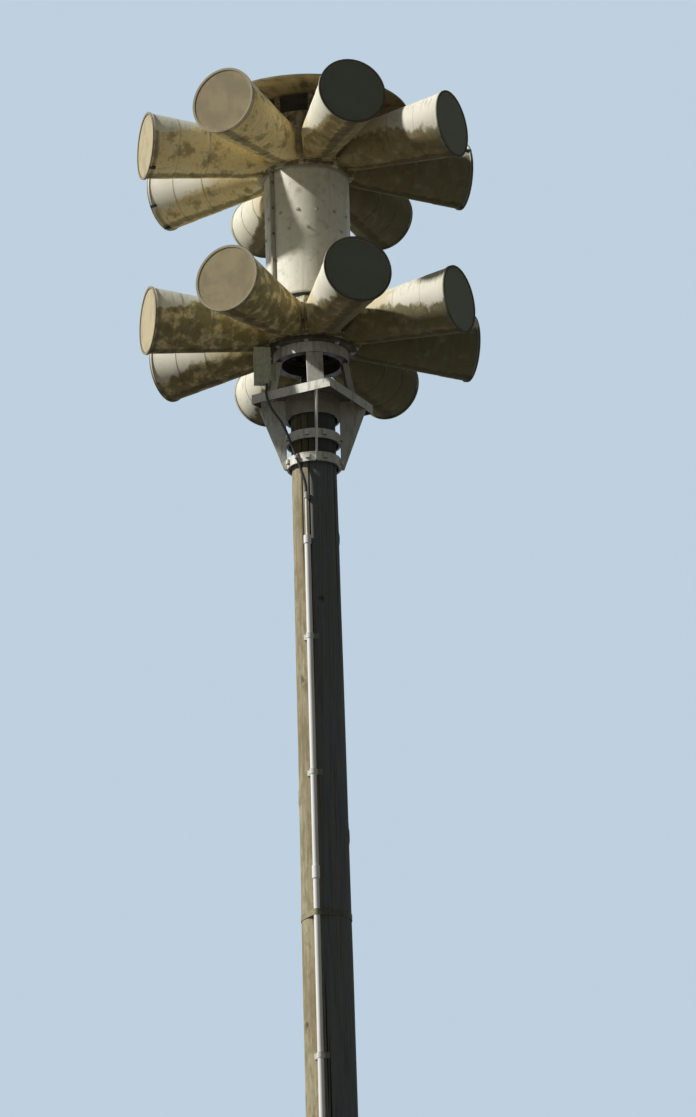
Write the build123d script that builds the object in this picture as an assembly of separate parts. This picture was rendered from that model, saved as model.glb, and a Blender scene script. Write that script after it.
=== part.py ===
from build123d import *

import os
from math import atan2, cos, degrees, pi, radians, sin, sqrt, tan

# Civil defence siren on a round timber pole, in millimetres.
# The origin is the centre of the pole's butt at ground level and +Z is up.
# An azimuth is counted from -Y towards +X; one horn of each tier points along -Y.

# Pole
pole_height = 10538.0
pole_base_radius = 163.0
pole_top_radius = 123.0
pole_butt_bevel = 6.0

# Pole-top bracket: three rings, four gussets and a square plate with a turned-down edge
plate_side = 494.0
plate_thickness = 10.0
plate_skirt_depth = 43.0
plate_skirt_thickness = 6.0
band_gap = 15.0
band_thickness = 12.0
band_height = 55.0
bottom_band_drop = 406.0
middle_band_drop = 269.0
collar_depth = 119.0
bracket_azimuth = 34.0
gusset_thickness = 10.0
gusset_toe_width = 18.0
gusset_edge_height = 15.0
gusset_skirt_gap = 1.0
set_bolt_radius = 8.0
set_bolt_head_side = 24.0
set_bolt_head_height = 14.0
set_bolt_spread = 18.0
touch_gap = 0.3
weld_overlap = 1.0
cut_margin = 1.0

# Stand: four splayed channel legs under a ring
leg_width = 90.0
leg_depth = 35.0
leg_metal = 6.0
leg_foot_radius = 242.0
leg_rise = 207.0
foot_pad_width = 100.0
foot_pad_thickness = 8.0
foot_pad_toe = 13.0
foot_pad_heel = 17.0
stand_ring_outer_radius = 210.0
stand_ring_inner_radius = 165.0
leg_inset = 7.0
stand_ring_height = 60.0

# Stators: eight-sided boxes with one port for each horn
horn_count = 8
stator_apothem = 250.0
stator_height = 210.0
stator_bore_radius = 205.0
stator_end_thickness = 20.0
port_width = 150.0
port_height = 176.0
shaft_hole_radius = 30.0
inlet_radius = 150.0
intake_plate_thickness = 22.0
intake_plate_radius = 255.0

# Rotors
rotor_clearance = 5.0
rotor_end_clearance = 10.0
rotor_wall = 8.0
rotor_back_thickness = 8.0
rotor_port_width = 92.0
rotor_rim_height = 16.0
rotor_vane_thickness = 6.0
rotor_hub_radius = 48.0
shaft_radius = 22.0

# Motor and its covers
cover_height = 778.0
cover_outer_radius = 240.0
cover_wall = 6.0
cover_seam_azimuth = -22.5
seam_flange_width = 22.0
seam_flange_thickness = 6.0
neck_radius = 215.0
neck_height = 35.0
motor_radius = 150.0
motor_end_thickness = 18.0

# Upper intake and hood
collar_outer_radius = 262.0
collar_height = 92.0
collar_bell_radius = 244.0
post_height = 108.0
post_width = 28.0
post_depth = 16.0
post_inset = 2.0
post_turn = -8.5
hood_radius = 598.0
hood_slope = 0.15
hood_wall = 4.0
hood_lip = 12.0
hood_cap_radius = 60.0

# Horns: a square throat that turns round, then three cone sections that lap over each other
horn_mouth_distance = 937.0
horn_mouth_radius = 190.5
horn_rim_proud = 5.0
horn_rim_depth = 14.0
horn_wall = 5.0
horn_slope = 0.095
lap_length = 337.0
lap_proud = 1.5
sleeve_length = 160.0
sleeve_proud = 3.0
throat_length = 97.0
throat_width = 176.0
throat_height = 196.0
throat_corner = 24.0
throat_arc = 15.0
flange_width = 203.0
flange_height = 208.0
flange_thickness = 8.0
screen_inset = 6.0
screen_thickness = 3.0
screen_ledge = 1.5

# Junction box on the flank of one leg
box_width = 85.0
box_depth = 91.0
box_height = 190.0
box_lift = 62.0
box_distance = 243.0
box_corner = 8.0
box_cover_thickness = 4.0
box_cover_proud = 4.0
box_plate_thickness = 6.0
box_plate_reach = 40.0
box_plate_height = 100.0
box_plate_lift = 30.0
gland_radius = 14.0
gland_tip_radius = 9.5
gland_length = 18.0
gland_nut_length = 9.0
gland_offset = 32.0
gland_inset = 19.0

# Feed cable, the tube that it enters and the conduit down the pole
cable_radius = 7.0
run_azimuth = 10.0
cable_lead = 46.0
tube_radius = 8.0
tube_drop = 623.0
gland_nut_radius = 13.0
gland_nut_height = 34.0
clip_metal = 2.5
clip_height = 16.0
clip_drop = 28.0
saddle_seat = 2.0
conduit_radius = 16.5
conduit_wall = 3.0
conduit_off_pole = 6.0
conduit_drop = 888.0
conduit_stick = 3048.0
conduit_top_stick = 1858.0
reducer_height = 46.0
coupling_count = 3
coupling_radius = 21.0
coupling_height = 70.0
first_strap_drop = 531.0
second_strap_drop = 1300.0
low_strap_level = 800.0
low_strap_pitch = 1500.0
low_strap_count = 5
strap_height = 30.0
strap_metal = 3.0
strap_ear = 22.0
strap_seat = 12.0
pole_band_below_joint = 219.0
pole_band_height = 32.0
pole_band_metal = 2.5

# Levels that follow from the stack of pieces
plate_top = pole_height + plate_thickness
skirt_bottom = pole_height - plate_skirt_depth
ring_bottom = plate_top + leg_rise
ring_top = ring_bottom + stand_ring_height
lower_stator_bottom = ring_top + intake_plate_thickness
lower_tier = lower_stator_bottom + stator_height / 2
lower_stator_top = lower_tier + stator_height / 2 + stator_end_thickness
cover_bottom = lower_stator_top + neck_height
cover_top = cover_bottom + cover_height
upper_tier = cover_top + stator_end_thickness + stator_height / 2
upper_stator_top = upper_tier + stator_height / 2
collar_top = upper_stator_top + collar_height
post_outer_radius = collar_outer_radius - post_inset
leg_top_radius = stand_ring_outer_radius - leg_inset
band_inner_radius = pole_top_radius + band_gap
band_outer_radius = band_inner_radius + band_thickness
bottom_band_level = pole_height - bottom_band_drop
middle_band_level = pole_height - middle_band_drop
leg_azimuth = bracket_azimuth - 90
box_side = leg_width / 2 + box_plate_thickness
box_bottom = plate_top + box_lift
tube_top = pole_height - tube_drop
conduit_top = pole_height - conduit_drop
run_off_pole = conduit_off_pole + conduit_radius
top_joint_level = conduit_top - conduit_top_stick
rotor_radius = stator_bore_radius - rotor_clearance
rotor_half = stator_height / 2 - rotor_end_clearance
horn_angle = 360.0 / horn_count
parts = {}


def turned(shape, azimuth):
    """Turn a shape that was made facing -Y about the pole's axis."""
    return Rot(0, 0, azimuth) * shape


def ring(inner, outer, bottom, top):
    """Plain ring about the Z axis."""
    return extrude(Pos(0, 0, bottom) * (Circle(outer) - Circle(inner)), top - bottom)


def disc(radius, bottom, top):
    """Plain disc about the Z axis."""
    return extrude(Pos(0, 0, bottom) * Circle(radius), top - bottom)


def spun(points):
    """Solid of revolution about Z from an outline of (radius, height) points."""
    return revolve(Plane.XZ * make_face(Polyline(*points, close=True)), Axis.Z)


def block(width, near, far, bottom, top):
    """Box that faces -Y: centred on x, between two distances from the axis and two levels."""
    centre = Pos(0, -(near + far) / 2, (bottom + top) / 2)
    return centre * Box(width, far - near, top - bottom)


def pole_radius(level):
    """Radius of the tapered pole at a level."""
    return pole_base_radius + (pole_top_radius - pole_base_radius) * level / pole_height


def make_pole():
    """Tapered round pole with a small bevel at its butt."""
    bevel_radius = pole_base_radius - pole_butt_bevel
    return spun([
        (0, 0), (bevel_radius, 0), (pole_radius(pole_butt_bevel), pole_butt_bevel),
        (pole_top_radius, pole_height), (0, pole_height),
    ])


def make_set_bolt(level):
    """Square-headed bolt through a band, whose point stops just off the pole."""
    point = pole_radius(level) + touch_gap
    shank = Plane((0, -point, level), z_dir=(0, -1, 0)) * Cylinder(
        set_bolt_radius, band_outer_radius - point, align=(Align.CENTER, Align.CENTER, Align.MIN))
    half = set_bolt_head_side / 2
    head = block(set_bolt_head_side, band_outer_radius - weld_overlap,
                 band_outer_radius + set_bolt_head_height, level - half, level + half)
    return shank + head


def make_band(bottom, height):
    """Ring round the pole top with a pair of set bolts beside each gusset."""
    band = ring(band_inner_radius, band_outer_radius, bottom, bottom + height)
    level = bottom + band_height / 2
    bolt = make_set_bolt(level)
    for side in range(4):
        for spread in (-set_bolt_spread, set_bolt_spread):
            band += turned(bolt, bracket_azimuth + 90 * side + spread)
    return band


def make_gussets():
    """Four triangular plates whose inner edges follow the bands."""
    toe = bottom_band_level
    lean = radians(bracket_azimuth)
    half_side = plate_side / 2 - gusset_thickness / 2 * sin(lean)
    reach = half_side / cos(lean)
    tab = (half_side - plate_skirt_thickness - gusset_skirt_gap) / cos(lean)
    outline = [
        (-band_inner_radius, toe), (-(band_outer_radius + gusset_toe_width), toe),
        (-reach, skirt_bottom - gusset_edge_height), (-reach, skirt_bottom),
        (-tab, skirt_bottom), (-tab, pole_height), (-band_inner_radius, pole_height),
    ]
    face = Plane.YZ * make_face(Polyline(*outline, close=True))
    plate = extrude(face, gusset_thickness / 2, both=True)
    plate -= disc(band_outer_radius, toe - cut_margin, pole_height + cut_margin)
    return [turned(plate, bracket_azimuth + 90 * side) for side in range(4)]


def make_plate():
    """Square plate with its edge turned down all round."""
    inside = plate_side - 2 * plate_skirt_thickness
    top = extrude(Pos(0, 0, pole_height) * Rectangle(plate_side, plate_side), plate_thickness)
    edge = Rectangle(plate_side, plate_side) - Rectangle(inside, inside)
    return top + extrude(Pos(0, 0, skirt_bottom) * edge, plate_skirt_depth)


def leg_face(level):
    """Distance of the outer face of a leg from the axis at a level."""
    share = (level - plate_top) / leg_rise
    return leg_foot_radius + (leg_top_radius - leg_foot_radius) * share


def make_leg():
    """Splayed channel with its web outwards, on a flat foot pad."""
    foot = plate_top + foot_pad_thickness
    face = leg_face(foot)
    web = Pos(0, -(face - leg_metal / 2)) * Rectangle(leg_width, leg_metal)
    section = web
    for side in (-1, 1):
        flange = Rectangle(leg_metal, leg_depth)
        section += Pos(side * (leg_width - leg_metal) / 2, -(face - leg_depth / 2)) * flange
    climb = Vector(0, face - leg_top_radius, ring_bottom - foot)
    leg = extrude(Pos(0, 0, foot) * section, climb.length, dir=climb)
    pad = block(foot_pad_width, leg_foot_radius - leg_depth - foot_pad_heel,
                leg_foot_radius + foot_pad_toe, plate_top, foot)
    return leg + pad


def make_stator(level, motor_side):
    """Eight-sided ported box; motor_side is +1 or -1 for the end that is closed."""
    bottom = level - stator_height / 2
    outline = RegularPolygon(stator_apothem, horn_count, major_radius=False, rotation=horn_angle / 2)
    body = extrude(Pos(0, 0, bottom) * (outline - Circle(stator_bore_radius)), stator_height)
    for number in range(horn_count):
        port = block(port_width, stator_bore_radius / 2, stator_apothem + cut_margin,
                     level - port_height / 2, level + port_height / 2)
        body -= turned(port, number * horn_angle)
    end_bottom = bottom + stator_height if motor_side > 0 else bottom - stator_end_thickness
    end = extrude(Pos(0, 0, end_bottom) * (outline - Circle(shaft_hole_radius)), stator_end_thickness)
    return body + end


def make_rotor(level, motor_side):
    """Open-ended drum with a port for each horn, radial vanes and a hub on the shaft."""
    bottom = level - rotor_half
    top = level + rotor_half
    drum = ring(rotor_radius - rotor_wall, rotor_radius, bottom, top)
    for number in range(horn_count):
        port = block(rotor_port_width, rotor_radius / 2, rotor_radius + cut_margin,
                     bottom + rotor_rim_height, top - rotor_rim_height)
        drum -= turned(port, (number + 0.5) * horn_angle)
    back = top - rotor_back_thickness if motor_side > 0 else bottom
    rim = rotor_radius - weld_overlap
    rotor = drum + ring(shaft_radius, rim, back, back + rotor_back_thickness)
    rotor += ring(shaft_radius, rotor_hub_radius, bottom, top)
    vane = block(rotor_vane_thickness, rotor_hub_radius - 2 * weld_overlap, rim, bottom, top)
    for number in range(horn_count):
        rotor += turned(vane, number * horn_angle)
    return rotor


def make_motor():
    """Motor body with end plates, the neck below it and the shaft through both rotors."""
    shaft_bottom = lower_tier - rotor_half
    shaft_top = upper_tier + rotor_half
    end_radius = cover_outer_radius - cover_wall
    return spun([
        (0, shaft_bottom), (shaft_radius, shaft_bottom), (shaft_radius, lower_stator_top),
        (neck_radius, lower_stator_top), (neck_radius, cover_bottom), (end_radius, cover_bottom),
        (end_radius, cover_bottom + motor_end_thickness),
        (motor_radius, cover_bottom + motor_end_thickness),
        (motor_radius, cover_top - motor_end_thickness),
        (end_radius, cover_top - motor_end_thickness), (end_radius, cover_top),
        (shaft_radius, cover_top), (shaft_radius, shaft_top), (0, shaft_top),
    ])


def make_cover(azimuth):
    """Half shell round the motor with a bolting flange down each seam."""
    inner_radius = cover_outer_radius - cover_wall
    shell = ring(inner_radius, cover_outer_radius, cover_bottom, cover_top)
    reach = cover_outer_radius + seam_flange_width
    flange = extrude(
        Pos(0, -seam_flange_thickness / 2, cover_bottom) * Rectangle(2 * reach, seam_flange_thickness),
        cover_height)
    low = cover_bottom - cut_margin
    high = cover_top + cut_margin
    flange -= disc(inner_radius + weld_overlap, low, high)
    half = block(4 * reach, 0, 2 * reach, low, high)
    return turned((shell & half) + flange, azimuth)


def make_intake_collar():
    """Bell-mouthed ring over the upper rotor's inlet."""
    return spun([
        (inlet_radius, upper_stator_top), (collar_outer_radius, upper_stator_top),
        (collar_outer_radius, collar_top), (collar_bell_radius, collar_top),
    ])


def hood_underside(radius):
    """Level of the hood's sloping underside at a distance from the axis."""
    return collar_top + post_height + hood_slope * (post_outer_radius - radius)


def make_hood():
    """Low conical hood of one sheet with its edge turned down."""
    inner = hood_radius - hood_wall
    rim_top = hood_underside(hood_radius) + hood_wall
    cap = hood_underside(hood_cap_radius)
    return spun([
        (0, cap), (hood_cap_radius, cap), (inner, hood_underside(inner)), (inner, rim_top - hood_lip),
        (hood_radius, rim_top - hood_lip), (hood_radius, rim_top),
        (hood_cap_radius, cap + hood_wall), (0, cap + hood_wall),
    ])


def make_posts(hood):
    """Upright straps between the intake collar and the hood, cut to its slope."""
    near = post_outer_radius - post_depth
    post = block(post_width, near, post_outer_radius, collar_top, hood_underside(near)) - hood
    return [turned(post, post_turn + number * horn_angle) for number in range(horn_count)]


def cone_radius(distance):
    """Outer radius of a horn's cone, without its sleeve, at a distance from the siren's axis."""
    at_mouth = horn_mouth_radius - horn_rim_proud - sleeve_proud
    return at_mouth - horn_slope * (horn_mouth_distance - distance)


def throat_section(width, height, corner, distance):
    """Rounded rectangle across a horn, as eight edges."""
    face = Pos(0, 0, distance) * RectangleRounded(width, height, corner)
    return face


def round_section(radius, distance):
    """Circle across a horn, split into four side arcs and four corner arcs."""
    edges = []
    for quarter in range(4):
        side = 90.0 * quarter
        edges.append(CenterArc((0, 0), radius, side - throat_arc, 2 * throat_arc))
        edges.append(CenterArc((0, 0), radius, side + throat_arc, 90 - 2 * throat_arc))
    return Pos(0, 0, distance) * make_face(edges)


def throat_solid(inset, start, end):
    """Loft from the rectangular throat to the round cone, inset by a wall."""
    square = throat_section(throat_width - 2 * inset, throat_height - 2 * inset,
                            throat_corner - inset / 2, start)
    return loft([square, round_section(cone_radius(end) - inset, end)], ruled=True)


def make_horn(level):
    """One hollow horn facing -Y, with its bolting flange on the stator's flat side."""
    start = stator_apothem + flange_thickness
    join = start + throat_length
    lap = horn_mouth_distance - lap_length
    sleeve = horn_mouth_distance - sleeve_length
    mouth = horn_mouth_distance
    rim = mouth - horn_rim_depth
    seat = mouth - screen_inset - screen_thickness
    inner_mouth = cone_radius(mouth) - horn_wall
    cone = spun([
        (cone_radius(join) - horn_wall, join), (cone_radius(join), join),
        (cone_radius(lap), lap), (cone_radius(lap) + lap_proud, lap),
        (cone_radius(sleeve) + lap_proud, sleeve), (cone_radius(sleeve) + sleeve_proud, sleeve),
        (cone_radius(rim) + sleeve_proud, rim), (horn_mouth_radius, rim), (horn_mouth_radius, mouth),
        (inner_mouth, mouth), (inner_mouth, seat),
        (cone_radius(seat) - horn_wall - screen_ledge, seat),
    ])
    throat = throat_solid(0, start, join) - throat_solid(horn_wall, start, join)
    opening = RectangleRounded(throat_width - 2 * horn_wall, throat_height - 2 * horn_wall,
                               throat_corner - horn_wall / 2)
    flange = extrude(Pos(0, 0, stator_apothem) * (Rectangle(flange_width, flange_height) - opening),
                     flange_thickness)
    lying = Plane((0, 0, level), x_dir=(1, 0, 0), z_dir=(0, -1, 0))
    return lying.location * (cone + throat + flange)


def make_screen(level):
    """Bird screen across one horn's mouth."""
    seat = horn_mouth_distance - screen_inset - screen_thickness
    lying = Plane((0, 0, level), x_dir=(1, 0, 0), z_dir=(0, -1, 0))
    mesh = Circle(cone_radius(horn_mouth_distance) - horn_wall)
    return lying.location * extrude(Pos(0, 0, seat) * mesh, screen_thickness)


def make_junction_box():
    """Box with a screwed cover, on a plate that is bolted to a leg's flank, and its cable gland."""
    top = box_bottom + box_height
    far = box_distance + box_width
    plate_bottom = box_bottom + box_plate_lift
    case = block(box_depth, box_distance, far, box_bottom, top)
    case = fillet(case.edges().filter_by(Axis.Z), box_corner)
    cover = block(box_cover_thickness + weld_overlap, box_distance - box_cover_proud,
                  far + box_cover_proud, box_bottom - box_cover_proud, top + box_cover_proud)
    plate = block(box_plate_thickness + weld_overlap, box_distance - box_plate_reach, far - box_corner,
                  plate_bottom, plate_bottom + box_plate_height)
    box = Pos(box_side + box_depth / 2) * case
    box += Pos(box_side + box_depth + (box_cover_thickness - weld_overlap) / 2) * cover
    box += Pos(box_side - (box_plate_thickness - weld_overlap) / 2) * plate
    gland_bottom = box_bottom - gland_length
    gland = spun([
        (0, gland_bottom), (gland_tip_radius, gland_bottom),
        (gland_radius, box_bottom - gland_nut_length), (gland_radius, box_bottom + weld_overlap),
        (0, box_bottom + weld_overlap),
    ])
    box += Pos(box_side + box_depth / 2 + gland_offset, -(box_distance + gland_inset)) * gland
    return turned(box, leg_azimuth)


def around(azimuth, distance, level):
    """Point at an azimuth, a distance from the axis and a level."""
    return Vector(distance * sin(radians(azimuth)), -distance * cos(radians(azimuth)), level)


def cable_route():
    """Points of the feed cable from the box's gland to the nut at the top of the tube."""
    gland_side = box_side + box_depth / 2 + gland_offset
    start = around(leg_azimuth, box_distance + gland_inset, box_bottom - gland_length)
    start += around(leg_azimuth + 90, gland_side, 0)
    edge = plate_side / 2
    low, direction, length = beside_pole(tube_top, tube_top + gland_nut_height)
    end = low + direction * length
    return [
        start,
        start + Vector(0, 0, -20),
        Vector(-143, -edge - 21, plate_top - 8),
        Vector(-136, -edge - 25, plate_top - 50),
        Vector(-121, -edge - 8, plate_top - 110),
        around(-27, band_outer_radius + 50, plate_top - 184),
        around(-20, band_outer_radius + 26, plate_top - 272),
        around(-9, band_outer_radius + 18, plate_top - 372),
        around(2, band_outer_radius + 12, plate_top - 464),
        end + direction * cable_lead,
        end,
    ]


def corner_radius(before, corner, after):
    """Largest tangent arc at a corner that leaves a tenth of the shorter run straight."""
    first = corner - before
    second = after - corner
    turn = radians(first.get_angle(second))
    return 0.45 * min(first.length, second.length) / tan(turn / 2)


def cable_path():
    """Straight runs of the cable joined by tangent arcs."""
    points = cable_route()
    radii = []
    for number in range(1, len(points) - 1):
        radii.append(corner_radius(points[number - 1], points[number], points[number + 1]))
    print("feed cable radii", [round(radius) for radius in radii])
    return FilletPolyline(*points, radius=radii)


def make_cable(path):
    """Round cable swept along its path."""
    section = Plane(origin=path @ 0, z_dir=path % 0) * Circle(cable_radius)
    cable = sweep(section, path=path)
    expected = pi * cable_radius ** 2 * path.length
    print("feed cable length", round(path.length), "volume share", round(cable.volume / expected, 4))
    return cable


def beside_pole(bottom, top):
    """Start, direction and length of a line that runs down the pole's tapered face."""
    low = around(run_azimuth, pole_radius(bottom) + run_off_pole, bottom)
    high = around(run_azimuth, pole_radius(top) + run_off_pole, top)
    return low, (high - low).normalized(), (high - low).length


def run_piece(radius, bore, bottom, top):
    """Round piece that runs beside the pole between two levels, solid where its bore is 0."""
    low, direction, length = beside_pole(bottom, top)
    outline = Circle(radius) if bore == 0 else Circle(radius) - Circle(bore)
    return extrude(Plane(origin=low, z_dir=direction) * outline, length)


def make_nut(pole):
    """Nut where the cable enters the tube, with the saddle that holds it on the pole."""
    nut_top = tube_top + gland_nut_height
    nut = run_piece(gland_nut_radius, 0, tube_top, nut_top)
    saddle_side = 2 * (gland_nut_radius - clip_metal)
    saddle = block(saddle_side, pole_radius(nut_top) - saddle_seat,
                   pole_radius(tube_top) + run_off_pole, tube_top + clip_metal, nut_top - clip_metal)
    return nut + turned(saddle, run_azimuth) - pole


def make_clip(path, cable):
    """Clip that holds the cable off the bottom band."""
    level = bottom_band_level + clip_drop
    near, far = 0.0, 1.0
    while far - near > 1e-6:
        middle = (near + far) / 2
        if (path @ middle).Z > level:
            near = middle
        else:
            far = middle
    place = path @ near
    distance = sqrt(place.X ** 2 + place.Y ** 2)
    azimuth = degrees(atan2(place.X, -place.Y))
    bottom = level - clip_height / 2
    loop = Pos(0, -distance, bottom) * Cylinder(cable_radius + clip_metal, clip_height,
                                                align=(Align.CENTER, Align.CENTER, Align.MIN))
    stem = block(cable_radius * 2, band_outer_radius - cut_margin, distance, bottom,
                 bottom + clip_height)
    clip = turned(loop + stem, azimuth) - cable
    return clip - disc(band_outer_radius, bottom - cut_margin, bottom + clip_height + cut_margin)


def make_strap(level):
    """Saddle strap over the conduit with an ear on the pole at each side."""
    inner = conduit_radius + touch_gap
    outer = inner + strap_metal
    bottom = level - strap_height / 2
    top = level + strap_height / 2
    middle = pole_radius(level) + run_off_pole
    near = pole_radius(level) - strap_seat
    hoop = Pos(0, -middle) * Circle(outer)
    width = 2 * (outer + strap_ear)
    hoop += Pos(0, -(near + middle) / 2) * Rectangle(2 * outer, middle - near)
    hoop += Pos(0, -(near + pole_radius(level) + strap_metal) / 2) * Rectangle(
        width, pole_radius(level) + strap_metal - near)
    hoop -= Pos(0, -middle) * Circle(inner)
    hoop -= Pos(0, -(near + middle) / 2) * Rectangle(2 * inner, middle - near)
    strap = extrude(Pos(0, 0, bottom) * hoop, strap_height)
    return turned(strap, run_azimuth)


def make_straps(pole):
    """All saddle straps, cut to the pole's tapered face."""
    levels = [conduit_top - first_strap_drop, conduit_top - second_strap_drop]
    levels += [low_strap_level + number * low_strap_pitch for number in range(low_strap_count)]
    straps = []
    for level in levels:
        for piece in (make_strap(level) - pole).solids():
            straps.append(piece)
    return straps


def drawn_round(pole_circle, conduit_circle):
    """Outline of a band drawn tight round the pole and the conduit beside it."""
    beside = Pos(0, -(pole_circle + conduit_off_pole + conduit_radius)) * Circle(conduit_circle)
    return make_hull(Circle(pole_circle).edges() + beside.edges())


def make_pole_band():
    """Steel band drawn round the pole and over the conduit."""
    bottom = top_joint_level - pole_band_below_joint - pole_band_height / 2
    radius = pole_radius(bottom)
    inside = drawn_round(radius, conduit_radius + touch_gap)
    outside = offset(inside, pole_band_metal, kind=Kind.ARC)
    band = extrude(Pos(0, 0, bottom) * (outside - inside), pole_band_height)
    return turned(band, run_azimuth)


pole = make_pole()
parts["pole"] = pole
parts["bracket_bottom_band"] = make_band(bottom_band_level, band_height)
parts["bracket_middle_band"] = make_band(middle_band_level, band_height)
parts["bracket_collar"] = ring(band_inner_radius, band_outer_radius,
                               pole_height - collar_depth, pole_height)
parts["bracket_gussets"] = Compound(make_gussets())
parts["bracket_plate"] = make_plate()
leg = make_leg()
parts["stand_legs"] = Compound([turned(leg, bracket_azimuth + 90 * side) for side in range(4)])
parts["stand_ring"] = ring(stand_ring_inner_radius, stand_ring_outer_radius, ring_bottom, ring_top)
parts["lower_intake_plate"] = ring(inlet_radius, intake_plate_radius, ring_top, lower_stator_bottom)
parts["lower_stator"] = make_stator(lower_tier, 1)
parts["lower_rotor"] = make_rotor(lower_tier, 1)
parts["motor"] = make_motor()
parts["motor_cover_front"] = make_cover(cover_seam_azimuth + 90)
parts["motor_cover_back"] = make_cover(cover_seam_azimuth - 90)
parts["upper_stator"] = make_stator(upper_tier, -1)
parts["upper_rotor"] = make_rotor(upper_tier, -1)
parts["upper_intake_collar"] = make_intake_collar()
hood = make_hood()
parts["hood_posts"] = Compound(make_posts(hood))
parts["hood"] = hood
for tier, level in (("upper", upper_tier), ("lower", lower_tier)):
    horn = make_horn(level)
    screen = make_screen(level)
    for number in range(horn_count):
        parts[f"{tier}_horn_{number + 1}"] = turned(horn, number * horn_angle)
    parts[f"{tier}_screens"] = Compound([turned(screen, n * horn_angle) for n in range(horn_count)])
parts["junction_box"] = make_junction_box()
path = cable_path()
cable = make_cable(path)
parts["feed_cable"] = cable
parts["cable_clamps"] = Compound([make_nut(pole), make_clip(path, cable)])
parts["cable_tube"] = run_piece(tube_radius, 0, conduit_top + reducer_height, tube_top)
parts["conduit"] = run_piece(conduit_radius, conduit_radius - conduit_wall, touch_gap, conduit_top)
couplings = [run_piece(coupling_radius, 0, conduit_top, conduit_top + reducer_height)]
for number in range(coupling_count):
    level = top_joint_level - number * conduit_stick
    couplings.append(run_piece(coupling_radius, conduit_radius, level - coupling_height / 2,
                               level + coupling_height / 2))
parts["conduit_couplings"] = Compound(couplings)
parts["conduit_straps"] = Compound(make_straps(pole))
parts["pole_band"] = make_pole_band()

os.makedirs("parts", exist_ok=True)
for name, shape in parts.items():
    export_step(shape, f"parts/{name}.step")
    print(name, len(shape.solids()), round(shape.volume / 1e6, 3))
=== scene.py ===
"""Finishes, wire screens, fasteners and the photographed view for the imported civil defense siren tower.

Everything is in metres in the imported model's frame: +Z up, the pole's butt centred on the origin, and
azimuths in degrees counted from -Y towards +X.
"""
import logging
import math
from abc import ABC, abstractmethod
from dataclasses import dataclass, field
from enum import Enum
from typing import Union

import bpy
import numpy as np
from mathutils import Matrix


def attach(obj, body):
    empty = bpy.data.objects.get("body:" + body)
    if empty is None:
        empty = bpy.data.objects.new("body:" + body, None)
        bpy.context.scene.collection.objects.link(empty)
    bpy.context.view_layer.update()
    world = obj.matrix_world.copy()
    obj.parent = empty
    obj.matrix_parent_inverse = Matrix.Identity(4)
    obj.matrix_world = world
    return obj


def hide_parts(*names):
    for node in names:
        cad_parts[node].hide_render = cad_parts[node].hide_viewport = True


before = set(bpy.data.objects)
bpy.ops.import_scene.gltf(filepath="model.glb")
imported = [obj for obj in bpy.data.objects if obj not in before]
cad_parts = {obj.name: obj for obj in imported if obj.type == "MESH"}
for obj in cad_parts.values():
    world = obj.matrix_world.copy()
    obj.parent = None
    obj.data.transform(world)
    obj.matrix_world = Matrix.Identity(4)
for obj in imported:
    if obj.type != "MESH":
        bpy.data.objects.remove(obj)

log = logging.getLogger("siren_tower")
BODY = "root"
SUNNY_AZIMUTH = -50.0
TIER_SPLIT = 11.5
EIGHTH = 45.0
NEAR_AXIS = 0.001
NEAR_UPRIGHT = 0.9

Feed = Union["Value", float, tuple]
Triple = tuple[float, float, float]
Colour = Triple
# A ramp's low value, high value and, where it isn't 1, the amount at the high one.
Cut = tuple[float, ...]
# A noise's scale, detail and, where it isn't the usual one, its roughness.
Grain = tuple[float, ...]
# Where a strip starts, is full, starts to fade and is gone.
Strip = tuple[float, float, float, float]


class Tier(Enum):
    """The two tiers of horns, with the height of the horns' axes."""

    LOWER = 10.942
    UPPER = 12.005

    @property
    def label(self) -> str:
        """The tier's word in node names."""
        return self.name.lower()


class Cover(Enum):
    """The shared effects that a coat of dirt can follow."""

    BLOTCHES = "blotches"
    DRIPS = "drips"


# Mesh arrays


@dataclass
class Shell:
    """A mesh as whole arrays.

    Attributes:
        points: Corner points, one row each.
        quads: Rows of four corner numbers.
        triangles: Rows of three corner numbers.
        hollow: A value for each point, from 0 on open faces to 1 in cracks and knots.
    """

    points: np.ndarray
    quads: np.ndarray
    triangles: np.ndarray = field(default_factory=lambda: np.zeros((0, 3), int))
    hollow: np.ndarray | None = None

    def repeated(self, points: np.ndarray) -> "Shell":
        """Gives this shell's faces to each set of points, shaped (count, points, 3)."""
        shift = (np.arange(len(points)) * points.shape[1])[:, None, None]
        return Shell(points.reshape(-1, 3), (self.quads[None] + shift).reshape(-1, 4),
                     (self.triangles[None] + shift).reshape(-1, 3))

    def moved(self, matrices: np.ndarray) -> "Shell":
        """Repeats the shell at each transform.

        Args:
            matrices: Transforms, shaped (count, 4, 4).

        Returns:
            One shell with every repeat.
        """
        turned = np.einsum("kij,nj->kni", matrices[:, :3, :3], self.points)
        return self.repeated(turned + matrices[:, None, :3, 3])

    @staticmethod
    def joined(shells: list["Shell"]) -> "Shell":
        """Puts several shells into one."""
        starts = np.cumsum([0] + [len(shell.points) for shell in shells[:-1]])
        return Shell(np.concatenate([shell.points for shell in shells]),
                     np.concatenate([shell.quads + start for shell, start in zip(shells, starts)]),
                     np.concatenate([shell.triangles + start for shell, start in zip(shells, starts)]))


def grid_quads(rows: int, columns: int) -> np.ndarray:
    """Faces between the rows of a grid whose columns close on themselves.

    Args:
        rows: Rows of points.
        columns: Points in each row.

    Returns:
        Corner numbers, one row for each face.
    """
    row, column = np.meshgrid(np.arange(rows - 1), np.arange(columns), indexing="ij")
    here, below = row * columns, (row + 1) * columns
    after = (column + 1) % columns
    return np.stack([here + column, here + after, below + after, below + column], axis=-1).reshape(-1, 4)


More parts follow.
